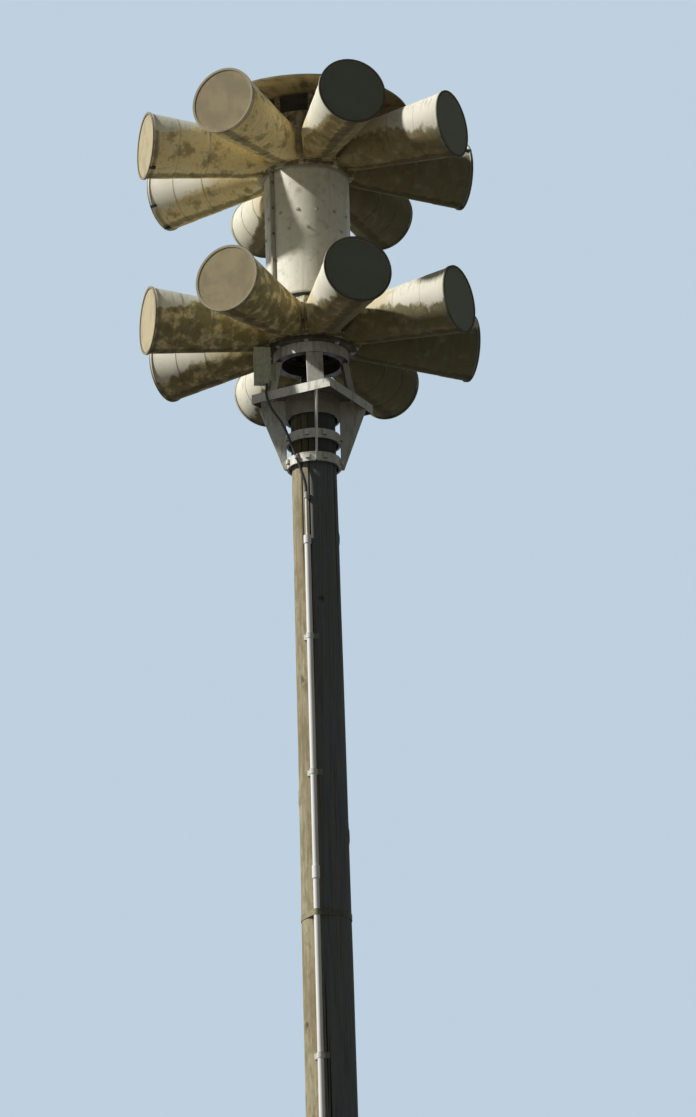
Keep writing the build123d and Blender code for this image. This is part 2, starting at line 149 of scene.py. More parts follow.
def closed_stack(rings: np.ndarray) -> Shell:
    """Joins rings of points into a closed surface, with a fan about the middle of the first and last ring.

    Args:
        rings: Points, shaped (rings, points in a ring, 3), counter-clockwise seen from the last ring's side.

    Returns:
        The shell, with its faces outwards.
    """
    rows, columns, _ = rings.shape
    middles = [rings[end].mean(0, keepdims=True) for end in (0, -1)]
    here = np.arange(columns)
    after = (here + 1) % columns
    count, last = rows * columns, (rows - 1) * columns
    fans = [np.stack([np.full(columns, count), after, here], -1),
            np.stack([np.full(columns, count + 1), last + here, last + after], -1)]
    points = np.concatenate([rings.reshape(-1, 3), *middles])
    return Shell(points, grid_quads(rows, columns), np.concatenate(fans))


def full_turn(sides: int) -> np.ndarray:
    """Equal angles round a full turn, in radians."""
    return np.arange(sides) * 2 * math.pi / sides


def turned(profile: list[tuple[float, float]], sides: int) -> np.ndarray:
    """Rings (radius cos t, radius sin t, height) about Z, one for each (radius, height) of a profile."""
    radius, height = np.array(profile).T[..., None]
    turn = full_turn(sides)
    return np.stack([radius * np.cos(turn), radius * np.sin(turn), np.repeat(height, sides, 1)], -1)


def lathed(profile: list[tuple[float, float]], sides: int) -> Shell:
    """Turns a profile, from the bottom up, about Z and closes both ends."""
    return closed_stack(turned(profile, sides))


def lathed_ring(profile: list[tuple[float, float]], sides: int) -> Shell:
    """Turns a closed profile, counter-clockwise with the radius to the right, about Z into a ring."""
    quads = grid_quads(len(profile) + 1, sides) % (len(profile) * sides)
    return Shell(turned(profile, sides).reshape(-1, 3), quads)


def square_axes(ways: np.ndarray, spare: Triple) -> tuple[np.ndarray, np.ndarray]:
    """Two unit vectors square to each way: Z x way over its length, and way x that.

    Args:
        ways: Unit vectors, shaped (count, 3).
        spare: What stands for Z where a way is near it.

    Returns:
        Both sets of vectors.
    """
    helper = np.where(np.abs(ways[:, 2:]) > NEAR_UPRIGHT, spare, (0.0, 0.0, 1.0))
    side = np.cross(helper, ways)
    side = side / np.linalg.norm(side, axis=1, keepdims=True)
    return side, np.cross(ways, side)


def bars(starts: np.ndarray, ends: np.ndarray, radius: float, sides: int = 6) -> Shell:
    """Round bars from starts to ends, each a closed tube.

    A bar's points are its axis plus radius (side cos t + other sin t), both square to the axis.

    Args:
        starts: One end of each bar, shaped (count, 3).
        ends: The other end of each bar.
        radius: Bar radius.
        sides: Faces round each bar.

    Returns:
        Every bar in one shell.
    """
    axis = ends - starts
    side, other = square_axes(axis / np.linalg.norm(axis, axis=1, keepdims=True), (1.0, 0.0, 0.0))
    turn = full_turn(sides)[None, :, None]
    ring = radius * (side[:, None] * np.cos(turn) + other[:, None] * np.sin(turn))
    model = closed_stack(np.stack([ring[0] + starts[0], ring[0] + ends[0]]))
    points = [starts[:, None] + ring, ends[:, None] + ring, np.stack([starts, ends], 1)]
    return model.repeated(np.concatenate(points, 1))


def block(low: Triple, high: Triple) -> Shell:
    """A box between two corners, as rings of four points joined bottom to top."""
    (x0, y0, z0), (x1, y1, z1) = low, high
    return closed_stack(np.array([[(x0, y0, z), (x1, y0, z), (x1, y1, z), (x0, y1, z)] for z in (z0, z1)]))


def standing(places: np.ndarray, normals: np.ndarray) -> np.ndarray:
    """Transforms, shaped (count, 4, 4), that stand a shape's Z along each unit normal at each place."""
    side, other = square_axes(normals, (0.0, 1.0, 0.0))
    matrices = np.tile(np.eye(4), (len(places), 1, 1))
    matrices[:, :3] = np.stack([side, other, normals, places], -1)
    return matrices


def outward(azimuth: np.ndarray | float) -> np.ndarray:
    """Level unit vectors (sin a, -cos a, 0) at azimuths in degrees."""
    angle = np.radians(np.atleast_1d(azimuth).astype(float))
    return np.stack([np.sin(angle), -np.cos(angle), np.zeros_like(angle)], -1)


def along_tangent(azimuth: np.ndarray | float) -> np.ndarray:
    """Level unit vectors Z x outward(), towards the growing azimuth."""
    return np.cross((0.0, 0.0, 1.0), outward(azimuth))


def at_height(level: np.ndarray | float, places: np.ndarray) -> np.ndarray:
    """The places with their height changed to a level."""
    return np.column_stack([places[:, :2], np.broadcast_to(level, len(places))])


def smooth_field(rng: np.random.Generator, rows: np.ndarray, columns: int, row_cells: int,
                 column_cells: int) -> np.ndarray:
    """Smooth random values over a grid whose columns close on themselves.

    Random values on a coarse lattice are blended with the smoothstep t t (3 - 2 t) of the share t of the
    way from one lattice line to the next.

    Args:
        rng: The random source.
        rows: Heights from 0 to 1.
        columns: Points round.
        row_cells: Lattice cells over the height.
        column_cells: Lattice cells round.

    Returns:
        Values from -1 to 1, shaped (rows, columns).
    """
    lattice = rng.uniform(-1, 1, (row_cells + 2, column_cells))
    up, turn = rows[:, None] * row_cells, np.arange(columns) / columns * column_cells
    low, left = np.floor(up).astype(int), np.floor(turn).astype(int)
    right = (left + 1) % column_cells
    blend_up, blend_turn = (share ** 2 * (3 - 2 * share) for share in (up - low, turn - left))
    below, above = (lattice[line, left] * (1 - blend_turn) + lattice[line, right] * blend_turn
                    for line in (low, low + 1))
    return below * (1 - blend_up) + above * blend_up


# Shader graphs


class Value:
    """An output socket, with sums, products and ramps as short calls."""

    def __init__(self, graph: "Graph", socket: bpy.types.NodeSocket) -> None:
        """Holds a socket of a graph."""
        self.graph = graph
        self.socket = socket

    def __add__(self, other: Feed) -> "Value":
        """The sum."""
        return self.graph.math("ADD", self, other)

    def __sub__(self, other: Feed) -> "Value":
        """The difference."""
        return self.graph.math("SUBTRACT", self, other)

    def __mul__(self, other: Feed) -> "Value":
        """The product."""
        return self.graph.math("MULTIPLY", self, other)

    def __truediv__(self, other: Feed) -> "Value":
        """The quotient."""
        return self.graph.math("DIVIDE", self, other)

    def or_more(self, other: Feed) -> "Value":
        """The greater of the two."""
        return self.graph.math("MAXIMUM", self, other)

    def swing(self, reach: float) -> "Value":
        """A 0 to 1 noise turned into a swing of reach about 0."""
        return (self - 0.5) * reach

    def ramp(self, low: Feed, high: Feed, amount: float = 1.0) -> "Value":
        """Smoothstep from 0 at low to the amount at high, falling where low is above high."""
        feeds = {"Value": self, "From Min": low, "From Max": high, "To Max": amount}
        return self.graph.output("ShaderNodeMapRange", feeds, interpolation_type="SMOOTHSTEP")

    def strip(self, start: float, full: float, fading: float, gone: float) -> "Value":
        """1 from full to fading, and 0 before start and after gone."""
        return self.ramp(start, full) * self.ramp(gone, fading)


class Graph:
    """A node tree with short calls for the nodes that the finishes use."""

    def __init__(self, tree: bpy.types.NodeTree) -> None:
        """Works on a node tree."""
        self.tree = tree

    def node(self, kind: str, **settings: object) -> bpy.types.Node:
        """Adds a node and sets its properties."""
        node = self.tree.nodes.new(kind)
        for name, value in settings.items():
            setattr(node, name, value)
        return node

    def feed(self, socket: bpy.types.NodeSocket, value: Feed) -> None:
        """Links a value to the socket, or sets the socket's own number, vector or colour."""
        if isinstance(value, Value):
            self.tree.links.new(value.socket, socket)
        elif socket.type == "RGBA":
            socket.default_value = (*value, 1.0)
        else:
            socket.default_value = value

    def output(self, kind: str, feeds: dict, out: int | str = 0, **settings: object) -> Value:
        """Adds a node and feeds it.

        Args:
            kind: The node's type.
            feeds: What each input gets, by its name or number.
            out: Name or number of the output.
            **settings: The node's properties.

        Returns:
            The output.
        """
        node = self.node(kind, **settings)
        for key, value in feeds.items():
            self.feed(node.inputs[key], value)
        return Value(self, node.outputs[out])

    def math(self, operation: str, first: Feed, second: Feed = 0.0) -> Value:
        """One Math node on two values."""
        return self.output("ShaderNodeMath", {0: first, 1: second}, operation=operation)

    def length(self, first: Value, second: Value) -> Value:
        """sqrt(first squared + second squared)."""
        return self.math("SQRT", first * first + second * second)

    def vector_math(self, operation: str, first: Feed, second: Feed, out: int | str = "Value") -> Value:
        """One Vector Math node on two vectors."""
        return self.output("ShaderNodeVectorMath", {0: first, 1: second}, out, operation=operation)

    def dot(self, first: Feed, second: Feed) -> Value:
        """The dot product of two vectors."""
        return self.vector_math("DOT_PRODUCT", first, second)

    def normal(self) -> Value:
        """The surface's own direction in the row frame."""
        return self.output("ShaderNodeNewGeometry", {}, "Normal")

    def position(self) -> Value:
        """Object coordinates, which are the row frame's metres."""
        return self.output("ShaderNodeTexCoord", {}, "Object")

    def mix(self, factor: Feed, first: Feed, second: Feed) -> Value:
        """Mixes two colours; 0, 6 and 7 are the colour mix's factor and colours, and 2 its result."""
        return self.output("ShaderNodeMix", {0: factor, 6: first, 7: second}, 2, data_type="RGBA")

    def over(self, base: Feed, *coats: tuple[Feed, Feed]) -> Feed:
        """Lays coats, each a mask and a colour, over a base colour."""
        for mask, colour in coats:
            base = self.mix(mask, base, colour)
        return base

    def combine(self, *values: Feed) -> Value:
        """A vector from three values."""
        return self.output("ShaderNodeCombineXYZ", dict(enumerate(values)))

    def split(self, vector: Value) -> list[Value]:
        """The three values of a vector."""
        node = self.node("ShaderNodeSeparateXYZ")
        self.feed(node.inputs[0], vector)
        return [Value(self, socket) for socket in node.outputs]

    def noise(self, vector: Value, scale: Feed, detail: float = 3.0, roughness: float = 0.55) -> Value:
        """Noise from 0 to 1, mostly between 0.3 and 0.7."""
        feeds = {"Vector": vector, "Scale": scale, "Detail": detail, "Roughness": roughness}
        return self.output("ShaderNodeTexNoise", feeds)


class Effect(ABC):
    """A shader node group that several finishes use, built once and placed with each finish's own values."""

    name: str
    inputs: dict[str, float] = {}
    outputs: tuple[str, ...] = ("Mask",)

    def __init__(self) -> None:
        """Makes the group's tree and sockets: a position, the values of inputs, and the outputs."""
        self.tree = bpy.data.node_groups.new(self.name, "ShaderNodeTree")
        face = self.tree.interface
        face.new_socket(name="Position", in_out="INPUT", socket_type="NodeSocketVector")
        for name, default in self.inputs.items():
            face.new_socket(name=name, in_out="INPUT", socket_type="NodeSocketFloat").default_value = default
        for name in self.outputs:
            face.new_socket(name=name, in_out="OUTPUT", socket_type="NodeSocketFloat")
        graph = Graph(self.tree)
        entry = graph.node("NodeGroupInput").outputs
        leave = graph.node("NodeGroupOutput").inputs
        given = {name: Value(graph, entry[name]) for name in ("Position", *self.inputs)}
        for name, value in self.wire(graph, given).items():
            graph.feed(leave[name], value)

    @abstractmethod
    def wire(self, graph: Graph, given: dict[str, Value]) -> dict[str, Value]:
        """Builds the effect and returns its outputs by name."""

    def place(self, brush: "Brush", **values: Feed) -> dict[str, Value]:
        """Places the group in a finish and returns its outputs by name."""
        node = brush.node("ShaderNodeGroup", node_tree=self.tree)
        for name, value in {"Position": brush.place, **values}.items():
            brush.feed(node.inputs[name], value)
        return {name: Value(brush, node.outputs[name]) for name in self.outputs}


class HornFrame(Effect):
    """Folds the sixteen horns onto one: distance along the axis, crown, turn, number and inner faces."""

    name = "horn frame"
    outputs = ("Along", "Crown", "Inner", "Turn", "Number", "Facing")
    horns = 8.0
    upper_numbers = 9.0
    inner_below = -0.3

    def wire(self, graph: Graph, given: dict[str, Value]) -> dict[str, Value]:
        """Azimuth is arctan2(x, -y), folded to the nearest eighth of a turn; crown is height over radius.

        A face is an inner one where its normal points at the horn's axis.
        """
        x, y, z = graph.split(given["Position"])
        azimuth = graph.math("ARCTAN2", x, y * -1.0)
        eighth = graph.math("ROUND", azimuth * (4 / math.pi))
        facing = eighth * (math.pi / 4)
        fold, reach = azimuth - facing, graph.length(x, y)
        along, across = reach * graph.math("COSINE", fold), reach * graph.math("SINE", fold)
        upper = graph.math("GREATER_THAN", z, TIER_SPLIT)
        height = z - (upper * (Tier.UPPER.value - Tier.LOWER.value) + Tier.LOWER.value)
        radius = graph.length(across, height).or_more(NEAR_AXIS)
        east = x - along * graph.math("SINE", facing)
        north = y + along * graph.math("COSINE", facing)
        outwards = graph.dot(graph.combine(east, north, height), graph.normal()) / radius
        number = graph.math("MODULO", eighth + self.horns, self.horns) + upper * self.upper_numbers
        return {"Along": along, "Crown": height / radius, "Turn": graph.math("ARCTAN2", across, height),
                "Inner": graph.math("LESS_THAN", outwards, self.inner_below),
                "Facing": facing, "Number": number}


class Drips(Effect):
    """Vertical runs of dirt: noise that is narrow across and long down."""

    name = "drips"
    inputs = {"Size": 0.01, "Length": 0.2, "Low": 0.5, "High": 0.7}
    detail = 2.0

    def wire(self, graph: Graph, given: dict[str, Value]) -> dict[str, Value]:
        """Position over (Size, Size, Length) feeds a noise, cut by a smoothstep from Low to High."""
        x, y, z = graph.split(given["Position"])
        vector = graph.combine(x / given["Size"], y / given["Size"], z / given["Length"])
        return {"Mask": graph.noise(vector, 1.0, self.detail).ramp(given["Low"], given["High"])}


class Blotches(Effect):
    """Ragged patches of a given size."""

    name = "blotches"
    inputs = {"Size": 0.05, "Low": 0.5, "High": 0.6}
    grain = (6.0, 0.62)

    def wire(self, graph: Graph, given: dict[str, Value]) -> dict[str, Value]:
        """A detailed noise with cells of Size, cut by a smoothstep from Low to High."""
        scale = graph.math("DIVIDE", 1.0, given["Size"])
        return {"Mask": graph.noise(given["Position"], scale, *self.grain).ramp(given["Low"], given["High"])}


class EdgeWear(Effect):
    """A mask that is 1 on edges, from the turn between the face's normal and a rounded one."""

    name = "edge wear"
    inputs = {"Amount": 1.0}
    radius = 0.003
    samples = 4
    grain = (90.0, 4.0)
    least = 0.4
    turn = (0.02, 0.2)

    def wire(self, graph: Graph, given: dict[str, Value]) -> dict[str, Value]:
        """One less the dot product of the two normals, broken up by a fine noise."""
        rounded = graph.output("ShaderNodeBevel", {"Radius": self.radius}, samples=self.samples)
        turn = graph.math("SUBTRACT", 1.0, graph.dot(rounded, graph.normal()))
        broken = turn * (graph.noise(given["Position"], *self.grain) + self.least)
        return {"Mask": broken.ramp(*self.turn) * given["Amount"]}


class RoundPlace(Effect):
    """Azimuth in degrees, distance from the tower's axis, height, the sunny side and inward faces."""

    name = "round place"
    outputs = ("Azimuth", "Radius", "Height", "Sunny", "Inward")

    def wire(self, graph: Graph, given: dict[str, Value]) -> dict[str, Value]:
        """arctan2(x, -y) in degrees, the length of (x, y), z, the cosine to the sun, and -n.(x, y)/r."""
        x, y, z = graph.split(given["Position"])
        radius = graph.length(x, y)
        reach = radius.or_more(NEAR_AXIS)
        towards = graph.dot(given["Position"], tuple(outward(SUNNY_AZIMUTH)[0]))
        inward = graph.dot(graph.combine(x, y, 0.0), graph.normal()) * -1.0
        azimuth = graph.math("ARCTAN2", x, y * -1.0) * (180 / math.pi)
        return {"Azimuth": azimuth, "Radius": radius, "Height": z,
                "Sunny": towards / reach, "Inward": inward / reach}


@dataclass
class Effects:
    """Every shared effect of the scene."""

    horn_frame: HornFrame = field(default_factory=HornFrame)
    drips: Drips = field(default_factory=Drips)
    blotches: Blotches = field(default_factory=Blotches)
    edge_wear: EdgeWear = field(default_factory=EdgeWear)
    round_place: RoundPlace = field(default_factory=RoundPlace)


# Finishes


@dataclass(frozen=True)
class Pattern:
    """Where a coat of dirt lies.

    Attributes:
        cover: The shared effect that it follows.
        amount: How much of the coat shows where the effect's mask is 1.
        size: Size of a patch, or width of a run.
        low: Noise value at which the coat starts.
        high: Noise value at which it is full.
        length: Length of a run.
    """

    cover: Cover
    amount: float
    size: float
    low: float
    high: float
    length: float = 0.2


class Brush(Graph):
    """A finish's node tree, with the place in the row frame and the shared effects at hand."""

    def __init__(self, tree: bpy.types.NodeTree, effects: Effects) -> None:
        """Starts on a material's tree."""
        super().__init__(tree)
        self.effects = effects
        self.place = self.position()

    def mask(self, pattern: Pattern) -> Value:
        """Where a pattern's coat lies, before its amount."""
        effect = getattr(self.effects, pattern.cover.value)
        return effect.place(self, **{name: getattr(pattern, name.lower()) for name in effect.inputs})["Mask"]

    def worn(self, amount: float) -> Value:
        """Worn edges."""
        return self.effects.edge_wear.place(self, Amount=amount)["Mask"]

    def spot(self) -> dict[str, Value]:
        """Azimuth, radius, height, sunny side and inward faces round the tower's axis."""
        return self.effects.round_place.place(self)

    def grain(self, grain: Grain) -> Value:
        """A noise over the place."""
        return self.noise(self.place, *grain)


@dataclass
class Surface:
    """What a finish gives its Principled shader.

    Attributes:
        colour: Base colour.
        roughness: Roughness.
        height: Height for the bump.
        relief: Bump strength.
        depth: Bump distance in metres.
        metallic: Metallic.
        specular: Specular level, the same all over.
    """

    colour: Feed
    roughness: Feed
    height: Feed
    relief: float
    depth: float
    metallic: Feed = 0.0
    specular: float = 0.3


@dataclass(frozen=True)
class Finish(ABC):
    """A finish: a named material made of nodes."""

    name: str
    slot: str

    @abstractmethod
    def surface(self, brush: Brush) -> Surface:
        """Wires the finish's colour, roughness and relief."""

    def material(self, effects: Effects) -> bpy.types.Material:
        """Builds the material with the shared effects."""
        material = bpy.data.materials.new(self.name)
        material.use_nodes = True
        brush = Brush(material.node_tree, effects)
        surface = self.surface(brush)
        bump = brush.output("ShaderNodeBump", {"Strength": surface.relief, "Distance": surface.depth,
                                               "Height": surface.height})
        shader = material.node_tree.nodes["Principled BSDF"].inputs
        for name, value in (("Base Color", surface.colour), ("Roughness", surface.roughness),
                            ("Metallic", surface.metallic), ("Specular IOR Level", surface.specular),
                            ("Normal", bump)):
            brush.feed(shader[name], value)
        return material


def darker(colour: Colour, share: float) -> Colour:
    """A colour times a share."""
    return tuple(share * value for value in colour)


@dataclass(frozen=True)
class HornShell(Finish):
    """Cream glass-fibre horns: clean where sun and rain reach, khaki and olive growth everywhere else.

    Sides holds an azimuth and a cut of the cosine to it for the shady, the sunny and the western horns.
    A drip's scales are along the horn and round it. A lap line has its place and its half width.
    """

    name: str = "cream horn shell"
    slot: str = "horn_shell"
    cream: Colour = (0.87, 0.845, 0.72)
    cream_dull: Colour = (0.78, 0.75, 0.60)
    throat: Colour = (0.72, 0.63, 0.40)
    growth: Colour = (0.36, 0.275, 0.12)
    # The sunny and shady growth colours are lit and shaded copies of the growth: painted light and painted
    # shade.
    growth_with_painted_light: Colour = (0.80, 0.65, 0.335)
    growth_pale: Colour = (0.80, 0.72, 0.48)
    growth_dark: Colour = (0.15, 0.112, 0.048)
    growth_green: Colour = (0.235, 0.20, 0.078)
    growth_with_painted_shade: Colour = (0.15, 0.14, 0.075)
    lichen: Colour = (0.40, 0.42, 0.31)
    soot: Colour = (0.19, 0.20, 0.175)
    # Bloom: chalky bloom that also serves as a painted grey-green sky reflection on the sunny horns' tops.
    bloom: Colour = (0.74, 0.79, 0.71)
    # The bells' insides: dark dirt with painted shade.
    inner: Colour = (0.16, 0.135, 0.085)
    rim_dust: Colour = (0.27, 0.225, 0.14)
    rim_painted_shade: Colour = (0.10, 0.105, 0.08)
    bottom_dark: Colour = (0.06, 0.045, 0.028)
    sun_weight: float = 0.94
    sky_weight: float = 0.33
    sides: tuple[tuple[float, Cut], ...] = ((150.0, (0.15, 0.85)), (SUNNY_AZIMUTH, (0.0, 0.6)),
                                            (-112.0, (0.6, 0.9)))
    turn_step: float = 2.7
    drip_scale: tuple[float, float] = (62.0, 1.7)
    wide_scale: tuple[float, float] = (24.0, 1.1)
    dark_spots: Pattern = Pattern(Cover.BLOTCHES, amount=0.62, size=0.09, low=0.50, high=0.64)
    patches: Pattern = Pattern(Cover.BLOTCHES, amount=0.4, size=0.08, low=0.58, high=0.70)
    specks: Pattern = Pattern(Cover.BLOTCHES, amount=0.3, size=0.03, low=0.60, high=0.68)
    lap_lines: tuple[tuple[float, float], ...] = ((0.600, 0.004), (0.777, 0.003))
    bright_lip: Strip = (0.600, 0.603, 0.612, 0.616)
    rim_back: Strip = (0.893, 0.910, 0.921, 0.924)
    rim_face: Cut = (0.9280, 0.9335, 0.92)
    lower_numbers: float = 8.5
    broad: Grain = (9.0, 5.0, 0.6)
    fine: Grain = (60.0, 6.0, 0.65)
    dull: Grain = (4.0, 3.0)
    pale: Grain = (14.0, 4.0)
    green: Grain = (15.0, 5.0)
    drip_grain: Grain = (3.0, 0.5)
    wide_grain: Grain = (2.0,)
    dull_cut: Cut = (0.40, 0.7)
    throat_end: Cut = (0.64, 0.50, 0.85)
    runs_cut: Cut = (0.66, 0.82)
    runs_crown: Cut = (0.05, 0.6)
    runs_along: Cut = (0.56, 0.68)
    runs_amount: float = 0.4
    growth_edge: Cut = (0.80, 0.46)
    growth_amount: float = 0.94
    bloom_and_sheen_crown: Cut = (0.35, 0.9)
    bloom_and_sheen_amount: float = 0.7
    least_specks: float = 0.15
    lap_amount: float = 0.3
    lip_crown: Cut = (-0.3, 0.3, 0.6)
    bottom_line: Cut = (-0.972, -0.996, 0.6)
    pale_cut: Cut = (0.44, 0.66, 0.5)
    green_cut: Cut = (0.34, 0.56)
    green_amount: float = 0.92
    turned_away_shade_cut: Cut = (-0.05, -0.5, 0.5)
    fine_dark: Cut = (0.50, 0.72, 0.35)

    def surface(self, brush: Brush) -> Surface:
        """Cream, then throat dust, runs, growth with painted light and shade, lichen, bloom with a painted
        sky reflection, specks, laps, the bottom line, the rim with painted shade, and the bells' insides with
        painted shade.
        """
        horn = brush.effects.horn_frame.place(brush)
        along, crown, number = horn["Along"], horn["Crown"], horn["Number"]
        shady, sunny, western = (brush.math("COSINE", horn["Facing"] - math.radians(azimuth)).ramp(*cut)
                                 for azimuth, cut in self.sides)
        shifted = horn["Turn"] + number * self.turn_step
        drip, wide = (brush.noise(brush.combine(along * scale[0], shifted * scale[1], number), 1.0, *grain)
                      for scale, grain in ((self.drip_scale, self.drip_grain),
                                           (self.wide_scale, self.wide_grain)))
        broad, fine = brush.grain(self.broad), brush.grain(self.fine)
        exposure = brush.dot(brush.normal(), (*darker(tuple(outward(SUNNY_AZIMUTH)[0, :2]), self.sun_weight),
                                              self.sky_weight))
        clean = self.clean(crown, along, exposure, (shady, sunny, western), (wide, broad))
        low = clean.ramp(*self.growth_edge)
        growth = self.grown(brush, number, exposure, (shady, sunny, western), fine)
        top = crown.ramp(*self.runs_crown) * along.ramp(*self.runs_along)
        runs = (drip + wide * 0.35).ramp(*self.runs_cut) * top
        colour = brush.over(
            brush.mix(brush.grain(self.dull).ramp(*self.dull_cut), self.cream, self.cream_dull),
            ((along + broad.swing(0.25)).ramp(*self.throat_end), self.throat),
            (runs * self.runs_amount, self.soot),
            (low * self.growth_amount, growth),
            (brush.mask(self.patches) * self.patches.amount, self.lichen),
            # Chalky bloom and a painted sky reflection on the tops of the sunny horns.
            ((crown + drip.swing(0.9)).ramp(*self.bloom_and_sheen_crown) * (sunny * self.bloom_and_sheen_amount), self.bloom),
            (brush.mask(self.specks) * (low * self.specks.amount + self.least_specks), self.growth_dark),
            *((along.strip(line - 2 * gap, line - gap, line, line + gap) * self.lap_amount, self.growth_dark)
              for line, gap in self.lap_lines),
            (along.strip(*self.bright_lip) * crown.ramp(*self.lip_crown), self.cream),
            (along.strip(*self.rim_back) * (low * 0.55 + 0.12), self.soot),
            # Darker along the very bottom of each horn.
            ((crown + wide.swing(0.06)).ramp(*self.bottom_line), self.bottom_dark),
            # Rim faces: dust on the sunny horns, painted shade on the others.
            (along.ramp(*self.rim_face), brush.mix(sunny, self.rim_painted_shade, self.rim_dust)),
            # The bells' insides: dark dirt and painted shade.
            (horn["Inner"], self.inner))
        height = fine * 0.5 + drip * 0.25 + low * 0.25
        return Surface(colour, low * 0.3 + 0.58, height, relief=0.5, depth=0.0015, specular=0.15)

    def clean(self, crown: Value, along: Value, exposure: Value, sides: tuple[Value, ...],
              noises: tuple[Value, Value]) -> Value:
        """How clean sun and rain keep a place: a weighted sum that growth takes over where it is low.

        Args:
            crown: Height over radius about the horn's axis.
            along: Distance along the axis.
            exposure: Cosine of the face to the open sky and sun.
            sides: How shady, sunny and western the horn is.
            noises: The wide runs and the broad noise.

        Returns:
            The sum.
        """
        shady, sunny, western = sides
        wide, broad = noises
        front_crown = crown.ramp(-0.1, 0.5) * along.ramp(0.70, 0.90)
        return (crown + exposure * 1.9 + along.ramp(0.60, 0.90, 0.65) + along.ramp(0.58, 0.42, -0.3)
                + shady * -0.9 + western * 0.5 + front_crown * (sunny * 0.8 + 0.5)
                + wide.swing(1.1) + broad.swing(1.6))

    def grown(self, brush: Brush, number: Value, exposure: Value, sides: tuple[Value, ...],
              fine: Value) -> Value:
        """The growth's colour: khaki, paler on the sunny horns as painted light, greener on the lower tier,
        and darker as painted shade on the shady horns and on faces turned from the sun.

        Args:
            brush: The material's brush.
            number: The horn's number.
            exposure: Cosine of the face to the open sky and sun.
            sides: How shady, sunny and western the horn is.
            fine: The fine noise.

        Returns:
            The colour.
        """
        shady, sunny, western = sides
        green = brush.grain(self.green).ramp(*self.green_cut)
        lower = brush.math("LESS_THAN", number, self.lower_numbers) * green
        # Painted shade: growth on faces turned from the sun and on the western horns goes darker, except on
        # sunny horns.
        away = exposure.ramp(*self.turned_away_shade_cut).or_more(western * 0.8) * brush.math("SUBTRACT", 1.0, sunny)
        return brush.over(
            brush.mix(sunny, self.growth, self.growth_with_painted_light),
            (brush.grain(self.pale).ramp(*self.pale_cut), self.growth_pale),
            (lower * self.green_amount, self.growth_green), (shady * 0.8, self.growth_with_painted_shade),
            (away, self.growth_with_painted_shade),
            (brush.mask(self.dark_spots) * self.dark_spots.amount, self.growth_dark),
            (fine.ramp(*self.fine_dark), self.growth_dark))


@dataclass(frozen=True)
class HousingPaint(Finish):
    """Pale grey paint with runs below its bolts, dark dirt and painted shade at its ends, a painted shadow
    beside the seam flange and worn edges.

    Each of the ends has how far the broad stain moves the edge of its darkening, and the heights of that
    edge.
    """

    name: str = "pale housing paint"
    slot: str = "painted_housing"
    paint: Colour = (0.88, 0.86, 0.735)
    dirt: Colour = (0.30, 0.27, 0.19)
    grime_and_painted_shade: Colour = (0.16, 0.14, 0.10)
    seam_painted_shadow: Colour = (0.13, 0.115, 0.085)
    smudge: Colour = (0.34, 0.33, 0.17)
    bare: Colour = (0.24, 0.19, 0.13)
    broad: Grain = (5.0, 4.0)
    fine: Grain = (120.0, 5.0)
    stain: Cut = (0.35, 0.65)
    runs: Pattern = Pattern(Cover.DRIPS, amount=0.16, size=0.018, low=0.52, high=0.74, length=0.30)
    blotches: Pattern = Pattern(Cover.BLOTCHES, amount=0.26, size=0.06, low=0.5128, high=0.6528)
    ends: tuple[tuple[float, Cut], ...] = ((0.03, (11.862, 11.892)), (-0.02, (11.112, 11.092)))
    seam_azimuth: float = -22.5
    seam: Cut = (0.016, 0.008, 0.6)
    smudge_place: Triple = (0.0754, -0.2279, 11.721)
    smudge_reach: Cut = (0.045, 0.018, 0.55)

    def surface(self, brush: Brush) -> Surface:
        """Paint, faint broad stain, runs, blotches, dark dirt and painted shade at top and bottom, a painted
        shadow along the seam, a smudge and bare edges.
        """
        height = brush.spot()["Height"]
        broad, fine, runs = brush.grain(self.broad), brush.grain(self.fine), brush.mask(self.runs)
        top, bottom = ((height + broad * wander).ramp(*cut) for wander, cut in self.ends)
        from_seam = brush.math("ABSOLUTE", brush.dot(brush.place, tuple(along_tangent(self.seam_azimuth)[0])))
        from_smudge = brush.vector_math("DISTANCE", brush.place, self.smudge_place)
        colour = brush.over(
            brush.mix(broad.ramp(*self.stain), self.paint, darker(self.paint, 0.90)),
            (runs * self.runs.amount, self.dirt),
            (brush.mask(self.blotches) * self.blotches.amount, self.dirt),
            # Dark dirt and painted shade at the top and bottom ends.
            (top.or_more(bottom) * 0.6, self.grime_and_painted_shade),
            # Painted shadow of the seam flange.
            (from_seam.ramp(*self.seam), self.seam_painted_shadow),
            ((from_smudge + fine * 0.03).ramp(*self.smudge_reach), self.smudge),
            (brush.worn(0.3), self.bare))
        return Surface(colour, runs * 0.25 + 0.42, fine + broad * 0.5, relief=0.25, depth=0.001, specular=0.2)


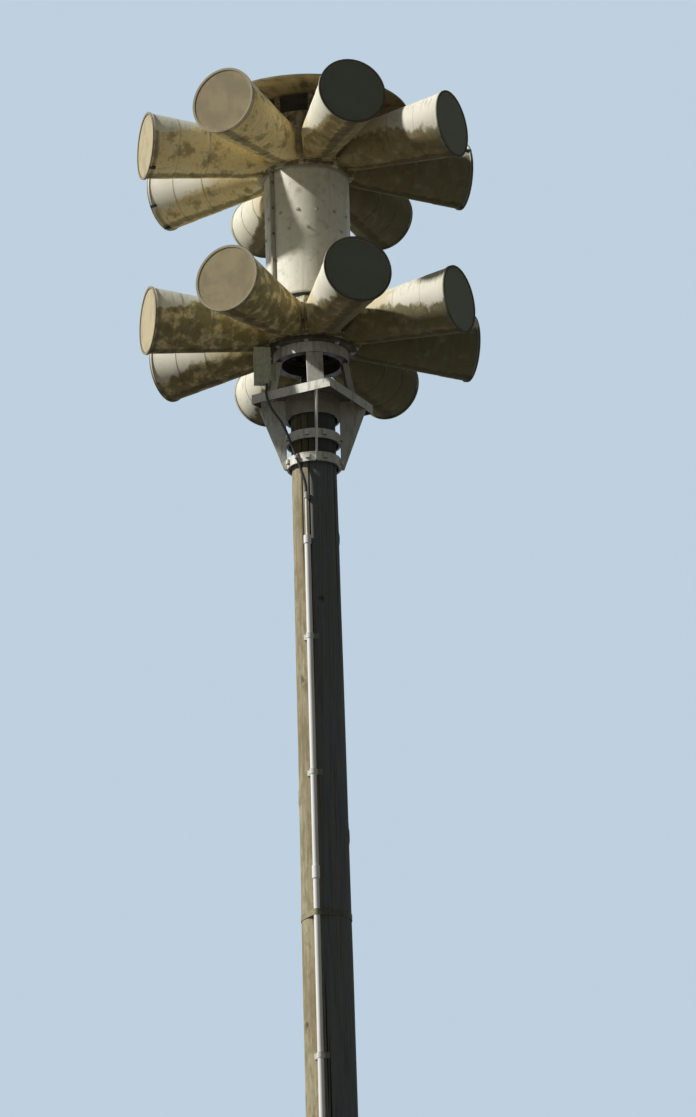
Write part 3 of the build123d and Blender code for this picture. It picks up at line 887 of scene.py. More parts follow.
@dataclass(frozen=True)
class StatorPaint(Finish):
    """Pale paint under a thick coat of brown and olive dirt, as on the faces that hold the horns."""

    name: str = "dirty stator paint"
    slot: str = "painted_housing"
    paint: Colour = (0.60, 0.57, 0.46)
    dirt: Colour = (0.20, 0.16, 0.085)
    dark: Colour = (0.07, 0.056, 0.034)
    bare: Colour = (0.36, 0.32, 0.24)
    # The bore's colour is painted shade inside the inner radius.
    bore: Colour = (0.08, 0.068, 0.046)
    coat: Pattern = Pattern(Cover.BLOTCHES, amount=0.92, size=0.11, low=0.4125, high=0.5325)
    runs: Pattern = Pattern(Cover.DRIPS, amount=0.45, size=0.014, low=0.50, high=0.68, length=0.16)
    specks: Pattern = Pattern(Cover.BLOTCHES, amount=0.6, size=0.025, low=0.56, high=0.66)
    fine: Grain = (110.0, 5.0)
    corner_turn: Cut = (18.5, 20.5)
    corner_radius: Cut = (0.235, 0.245)
    inner_radius: float = 0.2065
    inner_fade: float = 0.004

    def surface(self, brush: Brush) -> Surface:
        """Paint, broad dirt, runs and dark specks, with bare edges, clean corners and a bore darkened as
        painted shade.
        """
        spot, coat, fine = brush.spot(), brush.mask(self.coat), brush.grain(self.fine)
        fold = brush.math("ABSOLUTE", brush.math("PINGPONG", spot["Azimuth"] + 360.0, EIGHTH / 2))
        corner = fold.ramp(*self.corner_turn) * spot["Radius"].ramp(*self.corner_radius)
        colour = brush.over(
            self.paint, (coat * self.coat.amount, self.dirt),
            *((brush.mask(pattern) * pattern.amount, self.dark) for pattern in (self.runs, self.specks)),
            (brush.worn(0.45), self.bare), (corner * 0.65, self.paint),
            # Painted shade inside the inner radius: the bore, or nearly all of the intake plate.
            (spot["Radius"].ramp(self.inner_radius + self.inner_fade, self.inner_radius, 0.9), self.bore))
        return Surface(colour, coat * 0.25 + 0.6, fine + coat * 0.7, relief=0.35, depth=0.0015, specular=0.15)


@dataclass(frozen=True)
class HoodPaint(Finish):
    """The hood: dirty olive-brown below and darker over the intake as dark dirt and painted shade, paler and
    streaked on top.
    """

    name: str = "hood paint"
    slot: str = "hood_paint"
    under: Colour = (0.47, 0.37, 0.19)
    under_dark: Colour = (0.17, 0.13, 0.065)
    intake: Colour = (0.055, 0.04, 0.025)
    top: Colour = (0.50, 0.48, 0.40)
    top_dark: Colour = (0.26, 0.24, 0.17)
    lichen: Colour = (0.36, 0.37, 0.27)
    rim: Colour = (0.12, 0.10, 0.07)
    broad: Grain = (6.0, 5.0, 0.6)
    fine: Grain = (90.0, 5.0)
    spots: Pattern = Pattern(Cover.BLOTCHES, amount=0.5, size=0.05, low=0.56, high=0.66)
    least_radius: float = 0.02
    rays: float = 9.0
    ray_rings: float = 2.5
    intake_shade_edge: Cut = (0.322, 0.262, 0.85)
    streak_start: Cut = (0.12, 0.45)
    rim_edge: Cut = (0.590, 0.5965, 0.55)

    def surface(self, brush: Brush) -> Surface:
        """The face's own direction chooses top or underside; dirt runs outwards from the middle."""
        radius = brush.spot()["Radius"]
        broad, fine = brush.grain(self.broad), brush.grain(self.fine)
        reach = radius.or_more(self.least_radius)
        east, north = (value / reach * self.rays for value in brush.split(brush.place)[:2])
        radial = brush.noise(brush.combine(east, north, radius * self.ray_rings), 1.0)
        mottled = (broad + radial.swing(0.5)).ramp(0.42, 0.66)
        below = brush.over(brush.mix(mottled, self.under, self.under_dark),
                           # Over the intake: dark dirt and painted shade.
                           ((radius + broad * 0.05).ramp(*self.intake_shade_edge), self.intake))
        streaked = broad + radial.swing(0.5) * radius.ramp(*self.streak_start) + fine.swing(0.15)
        above = brush.over(brush.mix(streaked.ramp(0.36, 0.70), self.top, self.top_dark),
                           (brush.mask(self.spots) * self.spots.amount, self.lichen))
        upper = brush.split(brush.normal())[2].ramp(-0.1, 0.3)
        colour = brush.over(below, (upper, above), (radius.ramp(*self.rim_edge), self.rim))
        return Surface(colour, roughness=0.7, height=fine + broad * 0.7, relief=0.3, depth=0.0015,
                       specular=0.12)


@dataclass(frozen=True)
class Galvanised(Finish):
    """Dull galvanised steel: crystal pattern, white bloom, dust runs, rust at some edges, and painted shade
    on the shady side, on under and inward faces and inside an inner radius.
    """

    name: str = "dull galvanised steel"
    slot: str = "galvanised_steel"
    zinc: Colour = (0.78, 0.77, 0.69)
    bloom: Colour = (0.88, 0.87, 0.80)
    dust: Colour = (0.30, 0.28, 0.21)
    rust: Colour = (0.20, 0.085, 0.035)
    moss_and_painted_shade: Colour = (0.20, 0.18, 0.11)
    silt: Colour = (0.17, 0.15, 0.09)
    grime_and_painted_shade: Colour = (0.045, 0.04, 0.028)
    crystals: float = 95.0
    fine: Grain = (150.0, 4.0)
    blooms: Pattern = Pattern(Cover.BLOTCHES, amount=0.55, size=0.05, low=0.46, high=0.62)
    runs: Pattern = Pattern(Cover.DRIPS, amount=0.45, size=0.02, low=0.50, high=0.70, length=0.12)
    rust_spots: Pattern = Pattern(Cover.BLOTCHES, amount=0.35, size=0.03, low=0.62, high=0.70)
    painted_shade_side: Cut = (0.35, -0.45, 0.45)
    under_face: Cut = (-0.5, -0.9)
    inward_face: Cut = (0.25, 0.6)
    top_face: Cut = (0.6, 0.95, 0.7)
    inner_radius: float = 0.0
    inner_fade: float = 0.004

    def surface(self, brush: Brush) -> Surface:
        """Zinc varied by cell, bloom, dust in runs, rust only on worn edges and in small blotches, painted
        shade, and silt on top faces.
        """
        cells = brush.output("ShaderNodeTexVoronoi", {"Vector": brush.place, "Scale": self.crystals}, "Color")
        crystal, spot, up = brush.split(cells)[0], brush.spot(), brush.split(brush.normal())[2]
        bloom, runs, rusty = (brush.mask(pattern) for pattern in (self.blooms, self.runs, self.rust_spots))
        painted_shade_faces = up.ramp(*self.under_face).or_more(spot["Inward"].ramp(*self.inward_face))
        colour = brush.over(
            brush.mix(crystal, darker(self.zinc, 0.88), self.zinc),
            (bloom * self.blooms.amount, self.bloom), (runs * self.runs.amount, self.dust),
            (brush.worn(0.7) * (rusty * 0.8 + 0.15), self.rust), (rusty * self.rust_spots.amount, self.rust),
            # Painted shade: darker on the shady side, partly growth, and much darker on under and inward
            # faces.
            (spot["Sunny"].ramp(*self.painted_shade_side), self.moss_and_painted_shade), (painted_shade_faces * 0.85, self.grime_and_painted_shade),
            (up.ramp(*self.top_face), self.silt))
        if self.inner_radius:
            # Painted shade inside the inner radius.
            inner = spot["Radius"].ramp(self.inner_radius, self.inner_radius - self.inner_fade, 0.9)
            colour = brush.over(colour, (inner, self.grime_and_painted_shade))
        metallic = brush.math("SUBTRACT", 1.0, runs) * 0.08
        return Surface(colour, bloom * 0.22 + 0.42, brush.grain(self.fine) + crystal * 0.3, relief=0.25,
                       depth=0.0008, metallic=metallic, specular=0.2)


@dataclass(frozen=True)
class WeatheredTimber(Finish):
    """The pole: bleached tan-grey on the sunny side, nearly black on the other as weathering and painted
    shade, with grain, checks and knots.

    Each of the fibres is a noise's scale across the pole and along it, its detail and its roughness.
    """

    name: str = "weathered timber"
    slot: str = "weathered_timber"
    bleached: Colour = (0.45, 0.415, 0.285)
    sunny_coats: tuple[Colour, ...] = ((0.30, 0.25, 0.165), (0.245, 0.215, 0.115), (0.20, 0.17, 0.12),
                                       (0.15, 0.125, 0.085))
    sunny_cuts: tuple[Cut, ...] = ((0.36, 0.66), (0.44, 0.60, 0.75), (0.50, 0.70, 0.6), (0.50, 0.75, 0.45))
    # The dark side's colours: weathering and painted shade.
    painted_shade_colour: Colour = (0.165, 0.20, 0.225)
    painted_shade_coats: tuple[Colour, ...] = ((0.20, 0.215, 0.21), (0.23, 0.225, 0.18), (0.06, 0.06, 0.055))
    painted_shade_cuts: tuple[Cut, ...] = ((0.40, 0.65), (0.46, 0.66, 0.5), (0.45, 0.7, 0.5))
    crack: Colour = (0.035, 0.026, 0.018)
    damp: Colour = (0.10, 0.09, 0.06)
    grain: Grain = (150.0, 3.0, 5.0, 0.6)
    strands: Grain = (45.0, 0.9, 4.0, 0.6)
    stains: Grain = (9.0, 1.1, 4.0, 0.6)
    mottle: Grain = (34.0, 11.0, 5.0, 0.62)
    sunny_side: Strip = (-162.0, -138.0, 6.0, 24.0)
    border_swing: float = 26.0
    cracks: Cut = (0.1, 0.7)
    damp_height: Cut = (0.85, 0.25, 0.5)
    top_shadow_height: Cut = (10.12, 10.17, 0.5)

    def surface(self, brush: Brush) -> Surface:
        """Grain is noise drawn out upwards; the side is chosen by azimuth with a ragged border, the sunny
        side taking the lit copy and the other the painted shade copy; the top between the bands is darkened
        as painted shadow.
        """
        grain, strands, stains, mottle = (
            brush.noise(brush.vector_math("MULTIPLY", brush.place, (across, across, up), 0), 1.0, *rest)
            for across, up, *rest in (self.grain, self.strands, self.stains, self.mottle))
        spot = brush.spot()
        sunny, shade = (
            brush.over(base, *((noise.ramp(*cut), coat) for noise, cut, coat in zip(noises, cuts, coats)))
            for base, noises, cuts, coats in (
                (self.bleached, (stains, mottle, strands, grain), self.sunny_cuts, self.sunny_coats),
                (self.painted_shade_colour, (strands, mottle, grain), self.painted_shade_cuts, self.painted_shade_coats)))
        hollow = brush.output("ShaderNodeAttribute", {}, "Fac", attribute_name="hollow")
        colour = brush.over(
            # The lit copy on the sunny side over the painted shade copy on the other.
            shade, ((spot["Azimuth"] + strands.swing(self.border_swing)).strip(*self.sunny_side), sunny),
            ((hollow + grain.swing(0.3)).ramp(*self.cracks), self.crack),
            ((spot["Height"] + stains * 0.9).ramp(*self.damp_height), self.damp),
            # Painted shadow under the bracket at the top between the bands.
            (spot["Height"].ramp(*self.top_shadow_height), self.crack))
        return Surface(colour, roughness=0.88, height=grain * 0.6 + strands * 0.6, relief=0.7, depth=0.004,
                       specular=0.08)


@dataclass(frozen=True)
class PlainMetal(Finish):
    """Small metal or painted pieces: one colour with dirt, dust runs and worn edges, and where shady is set,
    dirt and painted shade on the side away from the sun.
    """

    name: str = "clamp metal"
    slot: str = "clamp_metal"
    base: Colour = (0.45, 0.45, 0.42)
    dirt: Colour = (0.17, 0.15, 0.11)
    edge: Colour = (0.55, 0.54, 0.50)
    metallic: float = 0.12
    rough: float = 0.5
    dirty: float = 0.5
    shady: float = 0.0
    blotches: Pattern = Pattern(Cover.BLOTCHES, amount=1.0, size=0.02, low=0.46, high=0.64)
    runs: Pattern = Pattern(Cover.DRIPS, amount=0.6, size=0.008, low=0.5, high=0.7, length=0.06)
    fine: Grain = (180.0, 4.0)
    painted_shade_side: Cut = (0.42, 0.34)

    def surface(self, brush: Brush) -> Surface:
        """Base colour, blotches and runs of dirt, lighter edges, and more dirt with painted shade away from
        the sun.
        """
        blotch = brush.mask(self.blotches)
        colour = brush.over(self.base, (blotch * self.dirty, self.dirt),
                            (brush.mask(self.runs) * (self.runs.amount * self.dirty), self.dirt),
                            (brush.worn(0.5), self.edge))
        # Dirt and painted shade on the side away from the sun.
        if self.shady:
            colour = brush.over(colour, (brush.spot()["Sunny"].ramp(*self.painted_shade_side, self.shady), self.dirt))
        return Surface(colour, blotch * 0.2 + self.rough, brush.grain(self.fine), relief=0.2, depth=0.0008,
                       metallic=self.metallic)


@dataclass(frozen=True)
class PlasticPipe(Finish):
    """Plastic or rubber in one colour, slightly chalked, with thin dirt runs."""

    name: str = "white conduit plastic"
    slot: str = "white_plastic"
    base: Colour = (0.89, 0.89, 0.87)
    dirt: Colour = (0.50, 0.48, 0.41)
    dirty: float = 0.25
    rough: float = 0.42
    runs: Pattern = Pattern(Cover.DRIPS, amount=1.0, size=0.006, low=0.52, high=0.75, length=0.5)
    chalk: Pattern = Pattern(Cover.BLOTCHES, amount=0.35, size=0.25, low=0.42, high=0.68)
    fine: Grain = (220.0, 3.0)

    def surface(self, brush: Brush) -> Surface:
        """Base colour, chalking in broad patches and long thin runs."""
        chalk = brush.mask(self.chalk)
        colour = brush.over(self.base, (chalk * self.chalk.amount, darker(self.base, 0.8)),
                            (brush.mask(self.runs) * self.dirty, self.dirt))
        return Surface(colour, chalk * 0.2 + self.rough, brush.grain(self.fine), relief=0.12, depth=0.0005,
                       specular=0.4)


@dataclass(frozen=True)
class WireFinish(Finish):
    """Screen wire: tan dust on the sunny side, dark and mossy on the other, partly as painted shade."""

    name: str = "screen wire"
    slot: str = "screen_wire"
    dust: Colour = (0.80, 0.71, 0.49)
    zinc: Colour = (0.68, 0.61, 0.43)
    dark: Colour = (0.37, 0.40, 0.34)
    patches: Pattern = Pattern(Cover.BLOTCHES, amount=1.0, size=0.12, low=0.44, high=0.62)
    fine: Grain = (300.0, 2.0)
    painted_shade_side: Cut = (0.50, 0.28)

    def surface(self, brush: Brush) -> Surface:
        """Broad patches of dust over zinc, darkened as painted shade and growth on the shady side of the
        tower.
        """
        colour = brush.over(self.dust, (brush.mask(self.patches), self.zinc),
                            # Painted shade and growth on the shady side.
                            (brush.spot()["Sunny"].ramp(*self.painted_shade_side), self.dark))
        return Surface(colour, roughness=0.75, height=brush.grain(self.fine), relief=0.2, depth=0.0004,
                       specular=0.1)


THICK_DIRT = Pattern(Cover.BLOTCHES, amount=0.92, size=0.11, low=0.40, high=0.52)


@dataclass(frozen=True)
class Finishes:
    """Every finish of the tower."""

    horn: Finish = HornShell()
    housing: Finish = HousingPaint()
    stator: Finish = StatorPaint()
    collar: Finish = StatorPaint(name="dirty collar paint", coat=THICK_DIRT, paint=(0.52, 0.47, 0.35))
    # The intake plate: painted shade over nearly all of it.
    intake: Finish = StatorPaint(name="intake plate with painted shade", coat=THICK_DIRT, inner_radius=0.256)
    hood: Finish = HoodPaint()
    steel: Finish = Galvanised()
    # The collar under the plate: darker steel as painted shade.
    collar_steel: Finish = Galvanised(name="grimy collar steel", zinc=(0.36, 0.335, 0.26),
                                      bloom=(0.46, 0.43, 0.34))
    ring_steel: Finish = Galvanised(name="ring steel with painted shade", inner_radius=0.2085)
    timber: Finish = WeatheredTimber()
    clamp: Finish = PlainMetal()
    # Straps and band: painted shade on their shady side.
    strap: Finish = PlainMetal("chalky strap", base=(0.78, 0.78, 0.74), dirt=(0.20, 0.19, 0.15),
                               edge=(0.8, 0.8, 0.77), metallic=0.0, rough=0.6, dirty=0.2, shady=0.9)
    pole_band: Finish = PlainMetal("dull brown band", base=(0.34, 0.30, 0.19), dirt=(0.075, 0.07, 0.055),
                                   edge=(0.36, 0.33, 0.24), metallic=0.0, rough=0.7, dirty=0.35, shady=0.9)
    rotor: Finish = PlainMetal("cast rotor metal", "rotor_metal", base=(0.24, 0.24, 0.23),
                               dirt=(0.09, 0.08, 0.06), edge=(0.32, 0.32, 0.3), metallic=0.4, rough=0.55,
                               dirty=0.6)
    motor: Finish = PlainMetal("dark motor paint", "motor_metal", base=(0.13, 0.14, 0.13),
                               dirt=(0.07, 0.06, 0.05), edge=(0.2, 0.2, 0.19), metallic=0.2, rough=0.55)
    box: Finish = PlainMetal("grey-green box paint", "box_paint", base=(0.60, 0.64, 0.50),
                             dirt=(0.34, 0.33, 0.24), edge=(0.55, 0.55, 0.47), metallic=0.0, rough=0.6)
    bolt: Finish = PlainMetal("dark bolt metal", base=(0.20, 0.185, 0.15), dirt=(0.075, 0.058, 0.04),
                              edge=(0.3, 0.27, 0.22), metallic=0.2, rough=0.6, dirty=0.6)
    cover_bolt: Finish = PlainMetal("dull cover bolt", base=(0.52, 0.49, 0.39), dirt=(0.26, 0.235, 0.17),
                                    edge=(0.6, 0.57, 0.47), metallic=0.05, rough=0.6, dirty=0.6)
    trim: Finish = PlainMetal("dusty screen trim", base=(0.46, 0.38, 0.22), dirt=(0.30, 0.24, 0.13),
                              edge=(0.5, 0.43, 0.27), metallic=0.0, rough=0.7)
    wire: Finish = WireFinish()
    rubber: Finish = PlasticPipe("black rubber", "cable_jacket", base=(0.022, 0.022, 0.022),
                                 dirt=(0.09, 0.085, 0.07), dirty=0.5, rough=0.6)
    tube: Finish = PlasticPipe("pale tube plastic", "pale_tube", base=(0.89, 0.87, 0.79),
                               dirt=(0.45, 0.42, 0.33), dirty=0.5, rough=0.5)
    conduit: Finish = PlasticPipe()


class Palette:
    """The materials, built once for each finish."""

    def __init__(self) -> None:
        """Builds the shared effects."""
        self.effects = Effects()
        self.built: dict[str, bpy.types.Material] = {}

    def of(self, finish: Finish) -> bpy.types.Material:
        """The material of a finish."""
        if finish.name not in self.built:
            self.built[finish.name] = finish.material(self.effects)
        return self.built[finish.name]


# Sub-assemblies


@dataclass
class Assembly(ABC):
    """A sub-assembly, which builds its own pieces and dresses its CAD nodes."""

    palette: Palette
    finishes: Finishes

    @abstractmethod
    def build(self) -> None:
        """Builds the pieces and dresses the CAD nodes."""

    def piece(self, name: str, shell: Shell, finish: Finish, smooth_angle: float = 35.0) -> bpy.types.Object:
        """Puts a shell into the scene as a piece that rides with the tower.

        Args:
            name: The piece's name.
            shell: Its mesh arrays.
            finish: Its finish.
            smooth_angle: Edges sharper than this many degrees stay sharp.

        Returns:
            The piece.
        """
        mesh = bpy.data.meshes.new(name)
        mesh.from_pydata(shell.points.tolist(), [], shell.quads.tolist() + shell.triangles.tolist())
        if shell.hollow is not None:
            layer = mesh.attributes.new("hollow", "FLOAT", "POINT")
            layer.data.foreach_set("value", shell.hollow.astype(np.float32))
        mesh.polygons.foreach_set("use_smooth", np.ones(len(mesh.polygons), bool))
        mesh.update()
        mesh.set_sharp_from_angle(angle=math.radians(smooth_angle))
        mesh.materials.append(self.palette.of(finish))
        piece = linked(name, mesh)
        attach(piece, BODY)
        log.info("%s: %d faces", name, len(mesh.polygons))
        return piece

    def dress(self, finish: Finish, *nodes: str) -> None:
        """Gives CAD nodes, by name, a finish."""
        material = self.palette.of(finish)
        for name in nodes:
            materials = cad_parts[name].data.materials
            for index in range(len(materials)):
                materials[index] = material
            if not materials:
                materials.append(material)
            log.info("%s: %s", name, finish.name)


def linked(name: str, data: bpy.types.ID) -> bpy.types.Object:
    """An object for a mesh, lamp or camera, put into the scene."""
    item = bpy.data.objects.new(name, data)
    bpy.context.scene.collection.objects.link(item)
    return item


@dataclass(frozen=True)
class Fastener:
    """A hexagon head on a round washer, standing on its origin along Z.

    Attributes:
        across: Head size across its flats.
        head: Head height.
        washer: Washer radius.
        plate: Washer thickness.
        sink: How far the washer's foot goes into the face that carries it.
        chamfer: Height of the head's drawn-in top over its size.
        crown: Radius of the head's top over its own.
    """

    across: float
    head: float
    washer: float
    plate: float
    sink: float = 0.0
    chamfer: float = 0.12
    crown: float = 0.84

    def at(self, places: np.ndarray, normals: np.ndarray) -> Shell:
        """One at each place along each normal: a turned washer, and a head of six-sided rings.

        The head's radius is across / sqrt 3, drawn in at the top.

        Args:
            places: Where they stand, shaped (count, 3).
            normals: Unit directions, shaped (count, 3).

        Returns:
            Every fastener in one shell.
        """
        reach, top = self.across / math.sqrt(3), self.plate + self.head
        washer = lathed([(self.washer, -self.sink), (self.washer, self.plate)], 16)
        head = lathed([(reach, self.plate / 2), (reach, top - self.chamfer * self.across),
                       (reach * self.crown, top)], 6)
        return Shell.joined([washer, head]).moved(standing(places, normals))


@dataclass
class Horns(Assembly):
    """The sixteen horns: wire screens, the trims that hold them, rim clips and flange bolts."""

    count: int = 8
    screen_face: float = 0.9295
    screen_radius: float = 0.1768
    screen_reach: float = 0.995
    wire_pitch: float = 0.0056
    wire_radius: float = 0.0015
    wire_weld: float = 0.9
    trim_outer: float = 0.1774
    trim_inner: float = 0.1738
    trim_back: float = 0.9268
    trim_front: float = 0.9332
    trim_edge: float = 0.0012
    trim_sides: int = 96
    flange_bolt: Fastener = Fastener(across=0.009, head=0.005, washer=0.0062, plate=0.0012)
    flange_face: float = 0.258
    flange_bolt_side: float = 0.0945
    flange_bolt_rise: float = 0.080
    rim_radius: float = 0.1905
    clip_half_width: float = 0.008
    clip_start: float = 0.899
    clip_pad: Triple = (-0.0085, 0.0005, 0.9228)
    clip_strap: Triple = (-0.0002, 0.0022, 0.9365)
    clip_screw: tuple[float, float] = (0.0045, 0.0035)
    clip_screw_rise: float = 0.0015
    clip_screw_along: float = 0.910
    rim_clips: tuple[tuple[int, float], ...] = ((4, 299.0), (7, 126.0), (7, 180.0), (8, 154.0))

    def frames(self, tier: Tier) -> np.ndarray:
        """Transforms, shaped (8, 4, 4), from a horn's own frame to the row frame.

        A horn's frame has X across, Y up and Z out of the mouth.
        """
        azimuth = np.arange(self.count) * EIGHTH
        matrices = np.tile(np.eye(4), (self.count, 1, 1))
        matrices[:, :3, 0] = -along_tangent(azimuth)
        matrices[:, :3, 1] = (0.0, 0.0, 1.0)
        matrices[:, :3, 2] = outward(azimuth)
        matrices[:, 2, 3] = tier.value
        return matrices

    def screen(self) -> Shell:
        """Wires at equal pitch, cut to the chord 2 sqrt(R squared - offset squared), in two welded layers."""
        reach = self.screen_radius
        offsets = np.arange(-math.floor(reach / self.wire_pitch), reach / self.wire_pitch) * self.wire_pitch
        offsets = offsets[np.abs(offsets) < reach * self.screen_reach]
        half = np.sqrt(reach ** 2 - offsets ** 2)
        low, high = (np.full_like(offsets, self.screen_face + side * self.wire_radius * self.wire_weld)
                     for side in (-1, 1))
        level, upright = (bars(*(np.stack(end, -1) for end in ends), self.wire_radius)
                          for ends in (((-half, offsets, low), (half, offsets, low)),
                                       ((offsets, -half, high), (offsets, half, high))))
        return Shell.joined([level, upright])

    def trim(self) -> Shell:
        """A ring of rounded section turned about the horn's axis."""
        inner, outer, back, front = self.trim_inner, self.trim_outer, self.trim_back, self.trim_front
        edge = self.trim_edge
        profile = [(outer, back), (outer, front - edge), (outer - edge, front),
                   ((inner + outer) / 2, front + edge / 2), (inner + edge, front), (inner, front - edge),
                   (inner, back)]
        return lathed_ring(profile, self.trim_sides)

    def clips(self, places: np.ndarray) -> Shell:
        """Small folded clips that grip a rim from behind: a pad behind it, a strap across it and a screw.

        Args:
            places: The transforms of the tier's horns.

        Returns:
            The clips of the tier, each at its degrees round the rim from the top.
        """
        half, rim = self.clip_half_width, self.rim_radius
        plates = [block((-half, rim + low, self.clip_start), (half, rim + high, end))
                  for low, high, end in (self.clip_pad, self.clip_strap)]
        radius, rise = self.clip_screw
        seat = np.array([[0.0, rim + self.clip_screw_rise, self.clip_screw_along]])
        screw = lathed([(radius, 0.0), (radius, rise)], 8).moved(standing(seat, np.array([[0.0, 1.0, 0.0]])))
        turns = [places[number - 1] @ np.array(Matrix.Rotation(math.radians(turn), 4, "Z"))
                 for number, turn in self.rim_clips]
        return Shell.joined([*plates, screw]).moved(np.array(turns))

    def flange_bolts(self) -> Shell:
        """Three bolts up each side of the flange."""
        places = np.array([(side, rise, self.flange_face)
                           for side in (-self.flange_bolt_side, self.flange_bolt_side)
                           for rise in (-self.flange_bolt_rise, 0.0, self.flange_bolt_rise)])
        return self.flange_bolt.at(places, np.tile([[0.0, 0.0, 1.0]], (len(places), 1)))

    def build(self) -> None:
        """Builds both tiers and dresses the CAD horns."""
        screen, trim, bolts = self.screen(), self.trim(), self.flange_bolts()
        for tier in Tier:
            word, places = tier.label, self.frames(tier)
            piece = self.piece(f"{word}_wire_screens", screen.moved(places), self.finishes.wire)
            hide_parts(f"{word}_screens")
            self.piece(f"{word}_screen_trims", trim.moved(places), self.finishes.trim)
            self.piece(f"{word}_flange_bolts", bolts.moved(places), self.finishes.cover_bolt)
            self.dress(self.finishes.horn, *(f"{word}_horn_{number}" for number in range(1, self.count + 1)))
        self.piece("rim_clips", self.clips(self.frames(Tier.UPPER)), self.finishes.rubber)


@dataclass
class Housing(Assembly):
    """The round cover, the stators, the upper collar and the hood.

    Each of the cover's rows has its height, its count of bolts on a half cover and its shift in steps.
    """

    cover_bolt: Fastener = Fastener(across=0.0125, head=0.005, washer=0.0105, plate=0.0015, sink=0.0006)
    cover_radius: float = 0.240
    seam_azimuth: float = -22.5
    rows: tuple[tuple[float, int, float], ...] = ((11.606, 7, 0.0), (11.496, 6, 0.5))
    bolt_step: float = 360.0 / 14
    seam_bolt: Fastener = Fastener(across=0.012, head=0.007, washer=0.0095, plate=0.0015)
    seam_bolt_radius: float = 0.2505
    seam_flange: float = 0.006
    seam_bolt_low: float = 11.175
    seam_bolt_pitch: float = 0.158
    seam_bolt_count: int = 5
    plate_bolt: Fastener = Fastener(across=0.017, head=0.008, washer=0.014, plate=0.002)
    plate_bolt_turn: float = 22.5
    plate_bolt_radius: float = 0.233
    plate_bottom: float = 10.815
    hood_bolt: Fastener = Fastener(across=0.014, head=0.007, washer=0.012, plate=0.002)
    post_turn: float = -8.5
    hood_bolt_radius: float = 0.2505
    hood_slope: float = 0.15
    hood_thickness: float = 0.004
    post_top: float = 12.310
    post_radius: float = 0.260

    def cover_bolts(self) -> Shell:
        """Two staggered rows of bolts on each half cover, square to the round wall."""
        first = self.seam_azimuth + self.bolt_step / 2
        azimuth, height = [], []
        for level, count, shift in self.rows:
            half = first + self.bolt_step * (np.arange(count) + shift)
            azimuth += [half, half + 180]
            height += [np.full(2 * count, level)]
        normals = outward(np.concatenate(azimuth))
        return self.cover_bolt.at(at_height(np.concatenate(height), normals * self.cover_radius), normals)

    def seam_bolts(self) -> Shell:
        """Bolts through the two flanges, with a head on each side."""
        height = self.seam_bolt_low + self.seam_bolt_pitch * np.arange(self.seam_bolt_count)
        places, normals = [], []
        for azimuth in (self.seam_azimuth, self.seam_azimuth + 180):
            for side in (-1, 1):
                tangent = along_tangent(azimuth) * side
                base = outward(azimuth) * self.seam_bolt_radius + tangent * self.seam_flange
                places.append(at_height(height, np.repeat(base, len(height), 0)))
                normals.append(np.repeat(tangent, len(height), 0))
        return self.seam_bolt.at(np.concatenate(places), np.concatenate(normals))

    def intake_bolts(self) -> Shell:
        """Eight bolts up through the lower intake plate, heads down."""
        places = outward(self.plate_bolt_turn + EIGHTH * np.arange(8)) * self.plate_bolt_radius
        return self.plate_bolt.at(at_height(self.plate_bottom, places), np.tile([[0.0, 0.0, -1.0]], (8, 1)))

    def hood_bolts(self) -> Shell:
        """One bolt down into each post, square to the sloping hood."""
        ways = outward(self.post_turn + EIGHTH * np.arange(8))
        slope = math.atan(self.hood_slope)
        top = (self.post_top + self.hood_slope * (self.post_radius - self.hood_bolt_radius)
               + self.hood_thickness / math.cos(slope))
        return self.hood_bolt.at(at_height(top, ways * self.hood_bolt_radius),
                                 at_height(math.cos(slope), ways * math.sin(slope)))

    def build(self) -> None:
        """Builds the bolts and dresses the CAD nodes."""
        finishes = self.finishes
        self.piece("cover_bolts", self.cover_bolts(), finishes.cover_bolt)
        self.piece("seam_bolts", self.seam_bolts(), finishes.bolt)
        self.piece("intake_bolts", self.intake_bolts(), finishes.clamp)
        self.piece("hood_bolts", self.hood_bolts(), finishes.clamp)
        self.dress(finishes.housing, "motor_cover_front", "motor_cover_back")
        self.dress(finishes.stator, "lower_stator", "upper_stator")
        self.dress(finishes.intake, "lower_intake_plate")
        self.dress(finishes.collar, "upper_intake_collar", "hood_posts")
        self.dress(finishes.hood, "hood")
        self.dress(finishes.rotor, "lower_rotor", "upper_rotor")
        self.dress(finishes.motor, "motor")


@dataclass
class Bracket(Assembly):
    """The stand, the square plate, the gussets and the bands at the pole's top."""

    foot_bolt: Fastener = Fastener(across=0.014, head=0.008, washer=0.0115, plate=0.0025)
    leg_azimuth: float = -56.0
    leg_step: float = 90.0
    pad_top: float = 10.556
    plate_bottom: float = 10.538
    foot_bolt_reach: float = 0.2175
    foot_bolt_spread: float = 0.020

    def foot_bolts(self) -> Shell:
        """Two bolts down through each leg's foot, with nuts under the plate."""
        places, normals = [], []
        for azimuth in self.leg_azimuth + self.leg_step * np.arange(4):
            for side in (-1, 1):
                spread = along_tangent(azimuth) * side * self.foot_bolt_spread
                base = outward(azimuth) * self.foot_bolt_reach + spread
                for level, way in ((self.pad_top, 1.0), (self.plate_bottom, -1.0)):
                    places.append(at_height(level, base))
                    normals.append([0.0, 0.0, way])
        return self.foot_bolt.at(np.concatenate(places), np.array(normals))

    def build(self) -> None:
        """Builds the foot bolts and dresses the CAD nodes."""
        self.piece("foot_bolts", self.foot_bolts(), self.finishes.clamp)
        self.dress(self.finishes.steel, "bracket_bottom_band", "bracket_middle_band", "bracket_gussets",
                   "bracket_plate", "stand_legs")
        self.dress(self.finishes.collar_steel, "bracket_collar")
        self.dress(self.finishes.ring_steel, "stand_ring")


